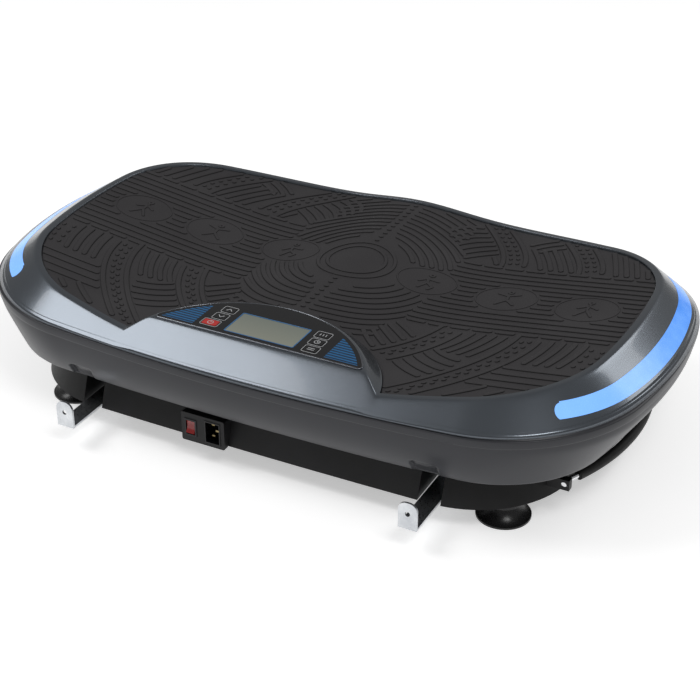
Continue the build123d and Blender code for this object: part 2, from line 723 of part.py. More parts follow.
ROCKER_GAP = 0.5
ROCKER_R = 15.0
ROCKER_TILT = 16.0
rocker_w = SWITCH_W - 2.0 - 2 * ROCKER_GAP
rocker_h = SWITCH_H - 2.0 - 2 * 1.0
with BuildPart() as rocker:
    with BuildSketch(Plane.YZ.offset(SWITCH_X)):
        with BuildLine() as edge:
            Polyline((INLET_FACE + 7.5, INLET_Z - 3.5), (INLET_FACE - 1.2, INLET_Z - rocker_h / 2 + 0.4))
            ThreePointArc((INLET_FACE - 1.2, INLET_Z - rocker_h / 2 + 0.4), (INLET_FACE + 0.6, INLET_Z),
                          (INLET_FACE - 1.2, INLET_Z + rocker_h / 2 - 0.4))
            Polyline((INLET_FACE - 1.2, INLET_Z + rocker_h / 2 - 0.4), (INLET_FACE + 7.5, INLET_Z + 3.5))
            Line((INLET_FACE + 7.5, INLET_Z + 3.5), (INLET_FACE + 7.5, INLET_Z - 3.5))
        make_face()
    extrude(amount=rocker_w / 2, both=True)
pivot_line = Axis((SWITCH_X, INLET_FACE + 4.0, INLET_Z), (1, 0, 0))
keep(rocker.part.rotate(pivot_line, -ROCKER_TILT / 2), "rocker_switch")

# ---- feet: rubber suction cups on bolts ----
for name, (fx, fy) in zip(("front_left", "rear_left", "front_right", "rear_right"), FEET):
    with BuildPart() as foot:
        with BuildSketch(Plane.XZ.offset(-fy)):
            with BuildLine() as edge:
                Polyline((fx, 4.5), (fx + 20, 1.2), (fx + FOOT_R - 3, 0), (fx + FOOT_R, 0), (fx + FOOT_R, 2.2))
                ThreePointArc((fx + FOOT_R, 2.2), (fx + 19.5, 8.0), (fx + 15, 14.5))
                Polyline((fx + 15, 14.5), (fx + 19, 17.0), (fx + 19, PAN_Z), (fx, PAN_Z), (fx, 4.5))
            make_face()
        revolve(axis=Axis((fx, fy, 0), (0, 0, 1)))
        with BuildSketch(Plane.XY.offset(12)):
            with Locations((fx, fy)):
                Circle(3.0)
        extrude(amount=30, mode=Mode.SUBTRACT)
    keep(foot.part, "foot_" + name)
with BuildPart() as foot_bolts:
    for fx, fy in FEET:
        with BuildSketch(Plane.XY.offset(12)):
            with Locations((fx, fy)):
                Circle(3.0)
        extrude(amount=floor_z + 4 - 12)
        with BuildSketch(Plane.XY.offset(floor_z)):
            with Locations((fx, fy)):
                RegularPolygon(6.5, 6)
        extrude(amount=5)
keep(foot_bolts.part, "foot_bolts")

# ---- strap brackets: upright tab with a hole, long strap, riser at the back of the slot ----
TAB_TOP = 59.0
RISER_TOP = 58.0
HOLE_Z = 46.0
HOLE_R = 2.8

for name, side in (("left", -1), ("right", 1)):
    with BuildPart() as bracket:
        with BuildSketch(Plane.YZ.offset(side * BRACKET_X)):
            with BuildLine() as edge:
                Polyline((BRACKET_FRONT, PAN_Z), (BRACKET_BACK, PAN_Z), (BRACKET_BACK, RISER_TOP),
                         (BRACKET_BACK - BRACKET_T, RISER_TOP), (BRACKET_BACK - BRACKET_T, PAN_Z + BRACKET_T),
                         (BRACKET_FRONT + BRACKET_T, PAN_Z + BRACKET_T), (BRACKET_FRONT + BRACKET_T, TAB_TOP),
                         (BRACKET_FRONT, TAB_TOP), close=True)
            make_face()
        extrude(amount=BRACKET_W / 2, both=True)
        corners = bracket.edges().filter_by(Axis.Y).group_by(Axis.Z)[-1].filter_by_position(
            Axis.Y, BRACKET_FRONT, BRACKET_FRONT + BRACKET_T)
        fillet(corners, 9.0)
        with BuildSketch(Plane.XZ.offset(-BRACKET_FRONT + 1)):
            with Locations((side * BRACKET_X, HOLE_Z)):
                Circle(HOLE_R)
        extrude(amount=-BRACKET_T - 2, mode=Mode.SUBTRACT)
    keep(bracket.part, "bracket_" + name)

# ---- carry handle: bowed rod hinged at its two ends on the pan, rubber grip ----
ROD_R = 3.0
GRIP_R = 5.5
HANDLE_BOW = 354.0       # middle of the bow
STUD_Y = 128.0           # where the bow ends and the hinge stud begins
END_Y = 137.0
with BuildPart() as handle_rod:
    with BuildLine(Plane.XY.offset(HANDLE_Z)):
        ThreePointArc((HANDLE_X, HANDLE_MID - STUD_Y), (HANDLE_BOW, HANDLE_MID), (HANDLE_X, HANDLE_MID + STUD_Y))
    with BuildSketch(Plane((HANDLE_X, HANDLE_MID - STUD_Y, HANDLE_Z), z_dir=(0.4, 0.9, 0))):
        Circle(ROD_R)
    sweep()
    for end in (-1, 1):
        with BuildSketch(Plane.XZ.offset(-HANDLE_MID - end * (STUD_Y - 3))):
            with Locations((HANDLE_X, HANDLE_Z)):
                Circle(ROD_R)
        extrude(amount=-end * (END_Y - STUD_Y + 3))
keep(handle_rod.part, "handle_rod")

bow_r = ((HANDLE_BOW - HANDLE_X) ** 2 + STUD_Y ** 2) / (2 * (HANDLE_BOW - HANDLE_X))
grip_y = 114.0
grip_x = HANDLE_BOW - bow_r + sqrt(bow_r ** 2 - grip_y ** 2)
with BuildPart() as handle_grip:
    with BuildLine(Plane.XY.offset(HANDLE_Z)):
        ThreePointArc((grip_x, HANDLE_MID - grip_y), (HANDLE_BOW, HANDLE_MID), (grip_x, HANDLE_MID + grip_y))
    grip_dir = (grip_y, grip_x - HANDLE_BOW + bow_r, 0)
    with BuildSketch(Plane((grip_x, HANDLE_MID - grip_y, HANDLE_Z), z_dir=grip_dir)):
        Circle(GRIP_R)
        Circle(ROD_R + 0.02, mode=Mode.SUBTRACT)
    sweep()
keep(handle_grip.part, "handle_grip")

for name, end in (("front", -1), ("rear", 1)):
    with BuildPart() as clip:
        with BuildSketch(Plane.XZ.offset(-HANDLE_MID - end * (STUD_Y + 2))):
            with Locations((HANDLE_X - 6, HANDLE_Z)):
                Rectangle(24, 12)
            with Locations((HANDLE_X, HANDLE_Z)):
                Circle(ROD_R + RUN_FIT, mode=Mode.SUBTRACT)
        extrude(amount=-end * 8.0)
        add(pan_core.part, mode=Mode.SUBTRACT)
    keep(clip.part, "handle_clip_" + name)

# ---- electronics on the pan's floor ----
with BuildPart() as control_board:
    with BuildSketch(Plane.XY.offset(floor_z + 6)):
        with Locations((-150, -45.5)):
            Rectangle(110, 80)
    extrude(amount=1.6)
    with BuildSketch(Plane.XY.offset(floor_z)):
        with Locations((-150, -45.5)):
            with GridLocations(100, 70, 2, 2):
                Circle(3)
    extrude(amount=6)
    with BuildSketch(Plane.XY.offset(floor_z + 7.6)):
        with Locations((-175, -60.5)):
            Rectangle(30, 30)
        with Locations((-120, -35.5)):
            Rectangle(26, 36)
        with Locations((-165, -25.5)):
            Circle(9)
    extrude(amount=20)
keep(control_board.part, "control_board")

with BuildPart() as end_buffers:
    for bx in (-280, 280):
        for by in (-75.5, 124.5):
            with BuildSketch(Plane.XY.offset(floor_z)):
                with Locations((bx, by)):
                    Circle(14)
            with BuildSketch(Plane.XY.offset(FRAME_Z - 10)):
                with Locations((bx, by)):
                    Circle(9)
            loft()
keep(end_buffers.part, "end_buffers")

with BuildPart() as pan_screws:
    for x in (-300, -150, 0, 150, 300):
        for y in (-105.5, 124.5):
            with BuildSketch(Plane.XY.offset(PAN_Z - 1.2)):
                with Locations((x * 0.9, y)):
                    Circle(4.0)
            extrude(amount=1.2)
keep(pan_screws.part, "pan_screws")
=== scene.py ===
# %% [markdown]
# # A vibration plate
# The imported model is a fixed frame: every box, hinge and hole is already where it belongs. This
# lesson dresses it. The covers, the rubber mat and the printed console are worked out again as
# smooth surfaces, and the parts whose shapes are already right only get a finish.

# %% the frame
import json
import math

import bpy
import numpy as np
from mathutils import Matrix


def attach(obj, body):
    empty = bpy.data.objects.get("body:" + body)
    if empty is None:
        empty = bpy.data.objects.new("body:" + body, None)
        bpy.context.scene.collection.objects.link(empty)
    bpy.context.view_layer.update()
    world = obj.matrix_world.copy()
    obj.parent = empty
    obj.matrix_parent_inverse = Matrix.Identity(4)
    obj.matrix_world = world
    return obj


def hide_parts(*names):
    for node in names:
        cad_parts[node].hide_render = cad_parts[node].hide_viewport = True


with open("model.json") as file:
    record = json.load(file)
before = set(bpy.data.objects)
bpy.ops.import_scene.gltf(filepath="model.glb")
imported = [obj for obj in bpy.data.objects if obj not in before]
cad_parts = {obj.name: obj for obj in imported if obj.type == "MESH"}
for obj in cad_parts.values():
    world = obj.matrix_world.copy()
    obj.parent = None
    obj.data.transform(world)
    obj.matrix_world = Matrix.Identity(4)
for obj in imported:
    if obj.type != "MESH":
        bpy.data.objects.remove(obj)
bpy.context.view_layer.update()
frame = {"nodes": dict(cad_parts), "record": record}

# %% [markdown]
# ## Plan outlines
# The case is a bowed rectangle: four shallow arcs joined by round corners that touch them
# smoothly. It could be drawn by hand as a curve, but a formula lets every height have its own
# outline, so the leaning apron and the drawn-in skirt come from one function.

# %% the bowed outline
RIM_END_BOW = 0.890
SIDE_COUNTS = (112, 36, 52, 36, 100)


def arc(centre, radius, start, stop, count):
    """Points centre + radius times (cos, sin) of an angle going from start to stop."""
    t = np.linspace(0.0, 1.0, count, endpoint=False)[None, :]
    angle = start[:, None] + (stop - start)[:, None] * t
    return centre[:, None, :] + radius[:, None, None] * np.stack([np.cos(angle), np.sin(angle)], -1)


def turn_centre(end_centre, end_bow, edge, away, bow, corner):
    """Centre of the corner circle that touches the end arc and the long arc from inside."""
    long_centre = np.stack([0 * edge, edge + away * bow], -1)
    gap = long_centre - end_centre
    far = np.hypot(gap[:, 0], gap[:, 1])
    along = gap / far[:, None]
    reach = ((end_bow - corner) ** 2 - (bow - corner) ** 2 + far ** 2) / (2 * far)
    across = np.sqrt((end_bow - corner) ** 2 - reach ** 2) * away
    aside = np.stack([along[:, 1], -along[:, 0]], -1)
    return long_centre, end_centre + along * reach[:, None] + aside * across[:, None]


def heading(v):
    """Angle of a plan vector."""
    return np.arctan2(v[:, 1], v[:, 0])


def bowed_outline(half, front, rear, corner, bows=(9.0, 1.5), end_bow=RIM_END_BOW):
    """Closed outlines, one per row: front arc, corner, end arc, corner, rear arc, then mirrored."""
    half, front, rear, corner, end_bow = np.broadcast_arrays(
        *(np.atleast_1d(np.asarray(v, float)) for v in (half, front, rear, corner, end_bow)))
    one = np.ones_like(half)
    end = np.stack([half - end_bow, (front + rear) / 2], -1)
    long_f, turn_f = turn_centre(end, end_bow, front, 1, bows[0], corner)
    long_r, turn_r = turn_centre(end, end_bow, rear, -1, bows[1], corner)
    f_long, f_end = heading(turn_f - long_f), heading(turn_f - end)
    r_end, r_long = heading(turn_r - end), heading(turn_r - long_r)
    n = SIDE_COUNTS
    right = np.concatenate([
        arc(long_f, bows[0] * one, -math.pi / 2 * one, f_long, n[0]),
        arc(turn_f, corner, f_long, f_end, n[1]),
        arc(end, end_bow, f_end, r_end, n[2]),
        arc(turn_r, corner, r_end, r_long, n[3]),
        arc(long_r, bows[1] * one, r_long, math.pi / 2 * one, n[4]),
        np.stack([0 * rear, rear], -1)[:, None, :]], axis=1)
    left = right[:, -2:0:-1] * np.array([-1.0, 1.0])
    return np.concatenate([right, left], axis=1)


def inward(loop):
    """Unit normals pointing into a counter-clockwise closed loop."""
    t = np.roll(loop, -1, axis=-2) - np.roll(loop, 1, axis=-2)
    n = np.stack([-t[..., 1], t[..., 0]], -1)
    return n / np.maximum(np.hypot(n[..., 0], n[..., 1]), 1e-9)[..., None]


print("points round the case", 2 * sum(SIDE_COUNTS))

# %% [markdown]
# ## Heights
# The deck is a trough: it rises to both ends and has a soft ridge across the middle. The console
# is a flat-topped cone that leans out of it. Where two such heights meet, a soft minimum or
# maximum rounds the crease, which is cheaper and cleaner than bevelling edges afterwards.

# %% deck, parting line and console as functions
HALF_LENGTH = 0.3944
FRONT_Y = -0.2243
REAR_Y = 0.245
SEAM_CORNER = 0.160
SEAM_END_BOW = 0.5
PART_Z = 0.1275
END_LEAN = 1.60
FRONT_LEAN = 1.38
REAR_LEAN = 0.95
CORNER_TAPER = 1.375
BOW_RATE = 11.0
CONSOLE_Z = 0.1553
CONSOLE_Y = -0.243
CONSOLE_R = 0.140
CONE = 1.05
RIM_RISE = 0.0022
RIM_WIDTH = 0.007


def deck_height(x):
    """Top of the mat: 131.5 mm plus a rise with x squared, easing off with x to the fourth,
    plus a bell-shaped ridge 17 mm high."""
    return 0.1315 + 0.4014 * x ** 2 - 0.8946 * x ** 4 + 0.017 * np.exp(-(x / 0.075) ** 2)


def parting_height(x):
    """Height of the seam between the two covers, rising with x squared."""
    return PART_Z + 0.070 * x ** 2


def soft_min(a, b, width):
    """The lower of two heights, with their crease rounded over about width."""
    return 0.5 * (a + b - np.sqrt((a - b) ** 2 + width ** 2))


def soft_max(a, b, width):
    """The higher of two heights, with their crease rounded over about width."""
    return 0.5 * (a + b + np.sqrt((a - b) ** 2 + width ** 2))


def smooth_step(v, low, high):
    """0 below low, 1 above high, and an S between them."""
    t = np.clip((v - low) / (high - low), 0.0, 1.0)
    return t * t * (3 - 2 * t)


def top_height(x, y):
    """The rim's height, or the console's flat top and cone flank where they are higher."""
    flank = 0.156 - (np.hypot(x, y - CONSOLE_Y) - CONSOLE_R) / CONE
    console = soft_min(CONSOLE_Z, flank, 0.0016)
    lip = RIM_RISE * np.where(y > 0, 1.0, smooth_step(np.abs(x), 0.140, 0.152))
    return soft_max(deck_height(x) + lip, console, 0.0010)


def cone_foot(x):
    """Where the console's flank runs into the deck, as y over x, or far in front beside it."""
    foot = CONSOLE_R + CONE * (0.156 - deck_height(x))
    inside = foot ** 2 - x ** 2
    return np.where(inside > 0, CONSOLE_Y + np.sqrt(np.maximum(inside, 0)), -1.0)


def apron_ring(z, inset=0.0):
    """Outline of the leaning apron at a height; its corners tighten and its ends flatten upwards."""
    up = z - PART_Z
    up_end = z - parting_height(HALF_LENGTH)
    return bowed_outline(
        HALF_LENGTH - END_LEAN * up_end - inset, FRONT_Y + FRONT_LEAN * up + inset,
        REAR_Y - REAR_LEAN * up - inset, SEAM_CORNER - CORNER_TAPER * (up_end + 0.004) - 0.5 * inset,
        end_bow=SEAM_END_BOW + BOW_RATE * (up_end + 0.005))


# %% [markdown]
# ## From arrays to meshes
# Every surface below is a grid of points. This cell turns such a grid, closed or open in either
# direction, into faces, and gives the finished mesh to a body of the frame.

# %% grids, meshes and pieces
def grid_faces(rows, cols, close_rows=False, close_cols=False, start=0):
    """Quads of a rows by cols grid of points numbered row by row."""
    r = np.arange(rows if close_rows else rows - 1)
    c = np.arange(cols if close_cols else cols - 1)
    r, c = np.meshgrid(r, c, indexing="ij")
    r2, c2 = (r + 1) % rows, (c + 1) % cols
    quads = np.stack([r * cols + c, r * cols + c2, r2 * cols + c2, r2 * cols + c], -1)
    return quads.reshape(-1, 4) + start


def make_piece(name, points, faces, body, finish, smooth=True, depth=None, sharp=None):
    """A mesh object from points and quads, riding on a body."""
    mesh = bpy.data.meshes.new(name)
    mesh.from_pydata(np.asarray(points, float).reshape(-1, 3).tolist(), [], np.asarray(faces).tolist())
    mesh.polygons.foreach_set("use_smooth", np.full(len(mesh.polygons), smooth))
    if depth is not None:
        # depth is a point value that tread_rubber turns into painted shade, darkest where it is 1
        mark = mesh.attributes.new("depth", "FLOAT", "POINT")
        mark.data.foreach_set("value", np.asarray(depth, np.float32).ravel())
    mesh.validate()
    mesh.update()
    if sharp is not None:
        mesh.set_sharp_from_angle(angle=math.radians(sharp))
    obj = bpy.data.objects.new(name, mesh)
    bpy.context.scene.collection.objects.link(obj)
    mesh.materials.append(finish)
    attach(obj, body)
    print(name, len(mesh.vertices), "points,", len(mesh.polygons), "faces")
    return obj


# %% [markdown]
# ## Finishes
# Each finish is a small tree of nodes on Object coordinates: a coarse noise shifts the colour, and a
# fine one gives the surface its grain through a bump and makes the gloss uneven. That
# is enough for moulded plastic, rubber and plated steel; the print on the console and the light
# strips get their own trees further down.

# %% a finish maker
def new_finish(name):
    """An empty finish: its node tree, its shader and the point's own place."""
    made = bpy.data.materials.new(name)
    made.use_nodes = True
    tree = made.node_tree
    shader = tree.nodes["Principled BSDF"]
    place = tree.nodes.new("ShaderNodeTexCoord").outputs["Object"]
    return made, tree, shader, place


def noise(tree, place, scale, detail=2.0, stretch=None):
    """A noise value on the place, with the place stretched first if asked."""
    if stretch is not None:
        mapping = tree.nodes.new("ShaderNodeMapping")
        mapping.inputs["Scale"].default_value = stretch
        tree.links.new(place, mapping.inputs["Vector"])
        place = mapping.outputs["Vector"]
    node = tree.nodes.new("ShaderNodeTexNoise")
    node.inputs["Scale"].default_value = scale
    node.inputs["Detail"].default_value = detail
    tree.links.new(place, node.inputs["Vector"])
    return node.outputs["Fac"]


def spread(tree, value, low, high, start=0.3, stop=0.7):
    """The value's start to stop mapped to low to high."""
    node = tree.nodes.new("ShaderNodeMapRange")
    for key, number in (("From Min", start), ("From Max", stop), ("To Min", low), ("To Max", high)):
        node.inputs[key].default_value = number
    tree.links.new(value, node.inputs["Value"])
    return node.outputs["Result"]


def blend_colour(tree, factor, first, second):
    """A colour between two, by a factor."""
    node = tree.nodes.new("ShaderNodeMix")
    node.data_type = "RGBA"
    tree.links.new(factor, node.inputs["Factor"])
    for socket, colour in ((node.inputs["A"], first), (node.inputs["B"], second)):
        if isinstance(colour, bpy.types.NodeSocket):
            tree.links.new(colour, socket)
        else:
            socket.default_value = (*colour, 1.0)
    return node.outputs["Result"]


def add_bump(tree, shader, value, strength, distance):
    """The value as fine relief."""
    node = tree.nodes.new("ShaderNodeBump")
    node.inputs["Strength"].default_value = strength
    node.inputs["Distance"].default_value = distance
    tree.links.new(value, node.inputs["Height"])
    tree.links.new(node.outputs["Normal"], shader.inputs["Normal"])


def moulded(name, dark, light, rough=(0.4, 0.5), cloud=9.0, grain=900.0, relief=0.1, metal=0.0,
            coat=0.0, coat_rough=0.08, stretch=None, level=0.5):
    """A finish with clouded colour, fine grain and uneven gloss."""
    made, tree, shader, place = new_finish(name)
    tint = blend_colour(tree, spread(tree, noise(tree, place, cloud, 4.0, stretch), 0.0, 1.0), dark, light)
    tree.links.new(tint, shader.inputs["Base Color"])
    fine = noise(tree, place, grain, 2.0, stretch)
    tree.links.new(spread(tree, fine, rough[0], rough[1]), shader.inputs["Roughness"])
    add_bump(tree, shader, fine, relief, 0.0002)
    shader.inputs["Metallic"].default_value = metal
    shader.inputs["Coat Weight"].default_value = coat
    shader.inputs["Coat Roughness"].default_value = coat_rough
    shader.inputs["Specular IOR Level"].default_value = level
    return made


# %% [markdown]
# The covers are moulded plastic: the upper one sprayed in a blue-grey metallic lacquer, the lower
# one left satin. The pan and the clips are textured black, and the metal parts are plated.

# %% the plain finishes
cover_lacquer = moulded("cover_lacquer", (0.088, 0.100, 0.116), (0.108, 0.122, 0.140), (0.20, 0.27), 6.0,
                        2600.0,
                        0.03, metal=0.85, coat=0.35, coat_rough=0.06)
skirt_satin = moulded("skirt_satin", (0.024, 0.025, 0.029), (0.032, 0.033, 0.038), (0.32, 0.40), 7.0, 1500.0,
                      0.06, metal=0.1, level=0.35)
pan_plastic = moulded("pan_plastic", (0.006, 0.006, 0.006), (0.012, 0.012, 0.013), (0.42, 0.55), 14.0,
                      1100.0, 0.25, level=0.25)
zinc_plate = moulded("zinc_plate", (0.52, 0.54, 0.57), (0.72, 0.74, 0.76), (0.26, 0.40), 60.0, 500.0, 0.08,
                     metal=1.0)
foot_rubber = moulded("foot_rubber", (0.006, 0.006, 0.006), (0.012, 0.012, 0.013), (0.22, 0.34), 20.0,
                      700.0, 0.1, level=0.4)
rod_chrome = moulded("rod_chrome", (0.72, 0.73, 0.75), (0.84, 0.85, 0.86), (0.06, 0.12), 30.0, 900.0, 0.02,
                     metal=1.0)
grip_rubber = moulded("grip_rubber", (0.006, 0.006, 0.006), (0.014, 0.014, 0.014), (0.5, 0.65), 30.0,
                      1300.0, 0.3, level=0.3)
plain_steel = moulded("plain_steel", (0.34, 0.34, 0.35), (0.46, 0.46, 0.47), (0.30, 0.45), 25.0, 800.0, 0.1,
                      metal=1.0, stretch=(1.0, 8.0, 1.0))
cast_grey = moulded("cast_grey", (0.10, 0.10, 0.11), (0.16, 0.16, 0.17), (0.45, 0.6), 40.0, 600.0, 0.3,
                    metal=0.6)
turned_alloy = moulded("turned_alloy", (0.52, 0.52, 0.54), (0.66, 0.66, 0.68), (0.22, 0.36), 30.0, 900.0,
                       0.06,
                       metal=1.0, stretch=(6.0, 1.0, 6.0))
circuit_green = moulded("circuit_green", (0.01, 0.10, 0.04), (0.02, 0.17, 0.07), (0.30, 0.40), 120.0, 900.0,
                        0.1)
contact_brass = moulded("contact_brass", (0.26, 0.20, 0.10), (0.34, 0.27, 0.14), (0.2, 0.3), 60.0, 900.0,
                        0.05, metal=1.0)
panel_black = moulded("panel_black", (0.003, 0.003, 0.004), (0.007, 0.007, 0.008), (0.14, 0.22), 12.0, 1500.0,
                      0.04, coat=0.15, level=0.25)
rocker_red = moulded("rocker_red", (0.16, 0.004, 0.004), (0.26, 0.010, 0.008), (0.16, 0.24), 60.0, 900.0,
                     0.04, coat=0.2)
key_red = moulded("key_red", (0.42, 0.020, 0.020), (0.52, 0.035, 0.030), (0.28, 0.38), 80.0, 1500.0, 0.05,
                  level=0.3)
mark_white = moulded("mark_white", (0.42, 0.43, 0.44), (0.52, 0.53, 0.54), (0.3, 0.4), 60.0, 900.0, 0.02)
trim_silver = moulded("trim_silver", (0.16, 0.17, 0.19), (0.22, 0.23, 0.25), (0.16, 0.26), 40.0, 900.0,
                      0.03, metal=1.0)
lcd_backing = moulded("lcd_backing", (0.30, 0.33, 0.27), (0.36, 0.39, 0.32), (0.5, 0.6), 30.0, 900.0, 0.05)

# %% [markdown]
# ## The upper cover
# On the real plate one moulding forms the leaning apron, the rim round the mat and the raised
# console. A boolean of solids would do it, but leaves sharp creases. Here each column of the grid
# starts at the seam, climbs the apron in a straight line, turns softly over the edge, crosses the
# rim or the whole console, drops into the mat's pocket and returns underneath, so the surface
# closes on itself.

# %% where the apron's straight lines end
LOW, HIGH = 0.120, 0.180
ring_low, ring_high = apron_ring(LOW)[0], apron_ring(HIGH)[0]
lean = (ring_high - ring_low) / (HIGH - LOW)
slope = np.hypot(lean[:, 0], lean[:, 1])


def on_apron(z):
    """Plan place on each column's straight line at a height."""
    return ring_low + lean * (z - LOW)[..., None]


seam_z = np.full(len(ring_low), 0.13)
for _ in range(12):
    seam_z = parting_height(on_apron(seam_z)[:, 0])
below, above = np.full(len(ring_low), 0.125), np.full(len(ring_low), 0.185)
for _ in range(40):
    guess = (below + above) / 2
    spot = on_apron(guess)
    under = top_height(spot[:, 0], spot[:, 1]) > guess
    below, above = np.where(under, guess, below), np.where(under, above, guess)
edge_z = (below + above) / 2
edge = on_apron(edge_z)
seam = on_apron(seam_z)
print("apron from", seam_z.min().round(4), "to", edge_z.max().round(4))

# %% the inner end of every column
across = inward(edge)
foot_y = cone_foot(edge[:, 0])
in_front = edge[:, 1] < 0
beside = in_front & (foot_y > edge[:, 1] + RIM_WIDTH)
near = in_front & (np.abs(edge[:, 0]) < 0.165)
across[near] = (0.0, 1.0)
run = np.where(beside, foot_y - edge[:, 1], RIM_WIDTH)
mat_edge = edge + across * run[:, None]
print("columns that cross the console", int(beside.sum()))

# %% the upper cover's surface
def cover_rows():
    """Rows of points: seam to edge, edge to the mat, down the pocket, and back underneath."""
    t = np.linspace(0, 1, 22)[:, None]
    z = seam_z + (edge_z - seam_z) * (1 - (1 - t) ** 2.2)
    plan = ring_low + lean * (z - LOW)[..., None]
    climb = soft_min(z, top_height(plan[..., 0], plan[..., 1]), 0.0016)
    t = np.linspace(0, 1, 60)[1:, None]
    d = run * (0.35 * t * t + 0.65 * t * t * (3 - 2 * t))
    plan2 = edge + across * d[..., None]
    over = soft_min(edge_z + d / slope, top_height(plan2[..., 0], plan2[..., 1]), 0.0016)
    rows = [np.concatenate([plan, climb[..., None]], -1), np.concatenate([plan2, over[..., None]], -1)]
    rim_z = over[-1]
    floor_z = deck_height(mat_edge[:, 0]) - 0.005
    inner = seam + inward(seam) * 0.0052
    for side, height in ((0.0004, rim_z - 0.0005), (0.0005, floor_z), (0.0005, floor_z - 0.0032)):
        rows.append(np.concatenate([mat_edge + across * side, height[:, None]], -1)[None])
    back = [(inner, seam_z + 0.004), (inner, seam_z), (seam + inward(seam) * 0.0006, seam_z - 0.0002)]
    rows += [np.concatenate([p, h[:, None]], -1)[None] for p, h in back]
    return np.concatenate(rows)


rows = cover_rows()
upper_cover = make_piece("upper_cover", rows, grid_faces(*rows.shape[:2], close_rows=True, close_cols=True),
                         "platform", cover_lacquer)
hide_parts("top_cover")

# %% [markdown]
# ## The lower cover
# A satin skirt hangs below the seam. It is drawn in towards the floor along a smooth curve, has a
# fine step near the top, a chamfer at the bottom, two recesses above the strap brackets and ten
# grip ribs on each end. The skirt is one closed grid again: outside down, underneath, inside up.

# %% the skirt's outline over height
SKIRT_BOWS = (3.8, 1.30)
SKIRT_LOW = 0.066
SKIRT_BEND = 0.118
SKIRT_DEPTH = 0.052
SKIRT_END_IN = 0.0357
SKIRT_SIDE_IN = 0.0175
SKIRT_TOP = 0.14


def end_drop(z):
    """How far the short ends are drawn in at a height: nearly straight, with a soft start."""
    depth = (SKIRT_BEND - z) / SKIRT_DEPTH
    return SKIRT_END_IN * 0.5 * (depth + np.sqrt(depth ** 2 + 0.01)) * 0.995


def skirt_ring(z, inset):
    """Outlines drawn in by a power of the depth below the bend at the front and rear, by
    end_drop at the ends, and by inset. A column keeps its place along the outline, so z may
    differ from column to column."""
    levels = np.linspace(SKIRT_LOW, SKIRT_TOP, 60)
    depth = np.clip((SKIRT_BEND - levels) / SKIRT_DEPTH, 0, 1)
    drop = SKIRT_SIDE_IN * depth ** 2.12
    rings = bowed_outline(HALF_LENGTH - end_drop(levels), FRONT_Y + drop, REAR_Y - drop,
                          SEAM_CORNER - 2.4 * drop, SKIRT_BOWS, SEAM_END_BOW)
    place = (np.clip(z, SKIRT_LOW, SKIRT_TOP) - SKIRT_LOW) / (SKIRT_TOP - SKIRT_LOW) * 59
    i = np.minimum(place.astype(int), 58)
    f = (place - i)[..., None]
    cols = np.arange(rings.shape[1])
    plan = rings[i, cols] * (1 - f) + rings[i + 1, cols] * f
    return plan + inward(plan) * np.broadcast_to(inset, z.shape)[..., None]


def skirt_rows():
    """Rows of the skirt's closed section."""
    flat = np.zeros(seam_z.shape)
    top = seam_z - 0.0015
    down = [(top + 0.0014, 0.0026), (top + 0.0002, 0.0024), (top, 0.0012), (top - 0.0004, 0.0003),
            (top - 0.0012, 0.0),
            (top - 0.0050, 0.0), (top - 0.0082, 0.0), (top - 0.0088, 0.0002), (top - 0.0092,
                                                                               0.0010), (top - 0.0098,
                                                                                         0.0012)]
    start = top - 0.0100
    for t in np.linspace(0.03, 1, 30):
        down.append((start + (SKIRT_LOW + 0.0052 - start) * t, 0.0012 * (1 - t) + 0.0004 * t))
    down += [(flat + SKIRT_LOW + 0.0046, 0.0008), (flat + SKIRT_LOW + 0.0024, 0.0030),
             (flat + SKIRT_LOW + 0.0006, 0.0050),
             (flat + SKIRT_LOW, 0.0064)]
    rows = [np.concatenate([skirt_ring(z, s), z[:, None]], -1) for z, s in down]
    opening = bowed_outline(0.324, -0.1915, 0.217, 0.100)[0]
    for z in (SKIRT_LOW, SKIRT_LOW + 0.0032):
        rows.append(np.concatenate([opening, (flat + z)[:, None]], -1))
    for z in (flat + SKIRT_LOW + 0.0034, flat + 0.085, top + 0.0014):
        rows.append(np.concatenate([skirt_ring(z, 0.0046), z[:, None]], -1))
    rows = np.array(rows)
    wide = 1 - smooth_step(np.abs(np.abs(rows[..., 0]) - 0.205), 0.0115, 0.0140)
    tall = 1 - smooth_step(rows[..., 2], 0.0835, 0.0862)
    outside = (np.arange(len(rows)) < len(down))[:, None] & (rows[..., 1] < -0.15)
    sunk = np.where(outside, wide * tall, 0.0)
    rows[..., 1] += sunk * (np.maximum(rows[..., 1], -0.199) - rows[..., 1])
    return rows


rows = skirt_rows()
lower_skirt = make_piece("lower_skirt", rows[::-1],
                         grid_faces(*rows.shape[:2], close_rows=True, close_cols=True),
                         "platform", skirt_satin)
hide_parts("lower_cover")

# %% the grip ribs on both ends
def grip_ribs(side):
    """Ten rounded ribs: height along z, a round nose across y, tapering away at both ends."""
    k, v, s = np.meshgrid(np.arange(10), np.linspace(0, 1, 9), np.linspace(-1, 1, 7), indexing="ij")
    y = 0.0315 + (k - 4.5) * 0.0115 + 0.0025 * s
    z = 0.0682 + 0.0175 * v
    skin = HALF_LENGTH - end_drop(z) - (y - 0.0104) ** 2 / (2 * 0.5)
    swell = np.sin(np.pi * v) ** 0.5
    x = skin - 0.0030 + 0.0048 * np.sqrt(np.clip(1 - s ** 2, 0, 1)) * swell
    points = np.stack([side * x, y, z], -1)
    quads = grid_faces(9, 7)
    faces = (quads[None] + (np.arange(10) * 63)[:, None, None]).reshape(-1, 4)
    return points.reshape(-1, 3), faces if side < 0 else faces[:, ::-1]


for side, word in ((-1, "left"), (1, "right")):
    points, faces = grip_ribs(side)
    ribs = make_piece("grip_ribs_" + word, points, faces, "platform", skirt_satin)

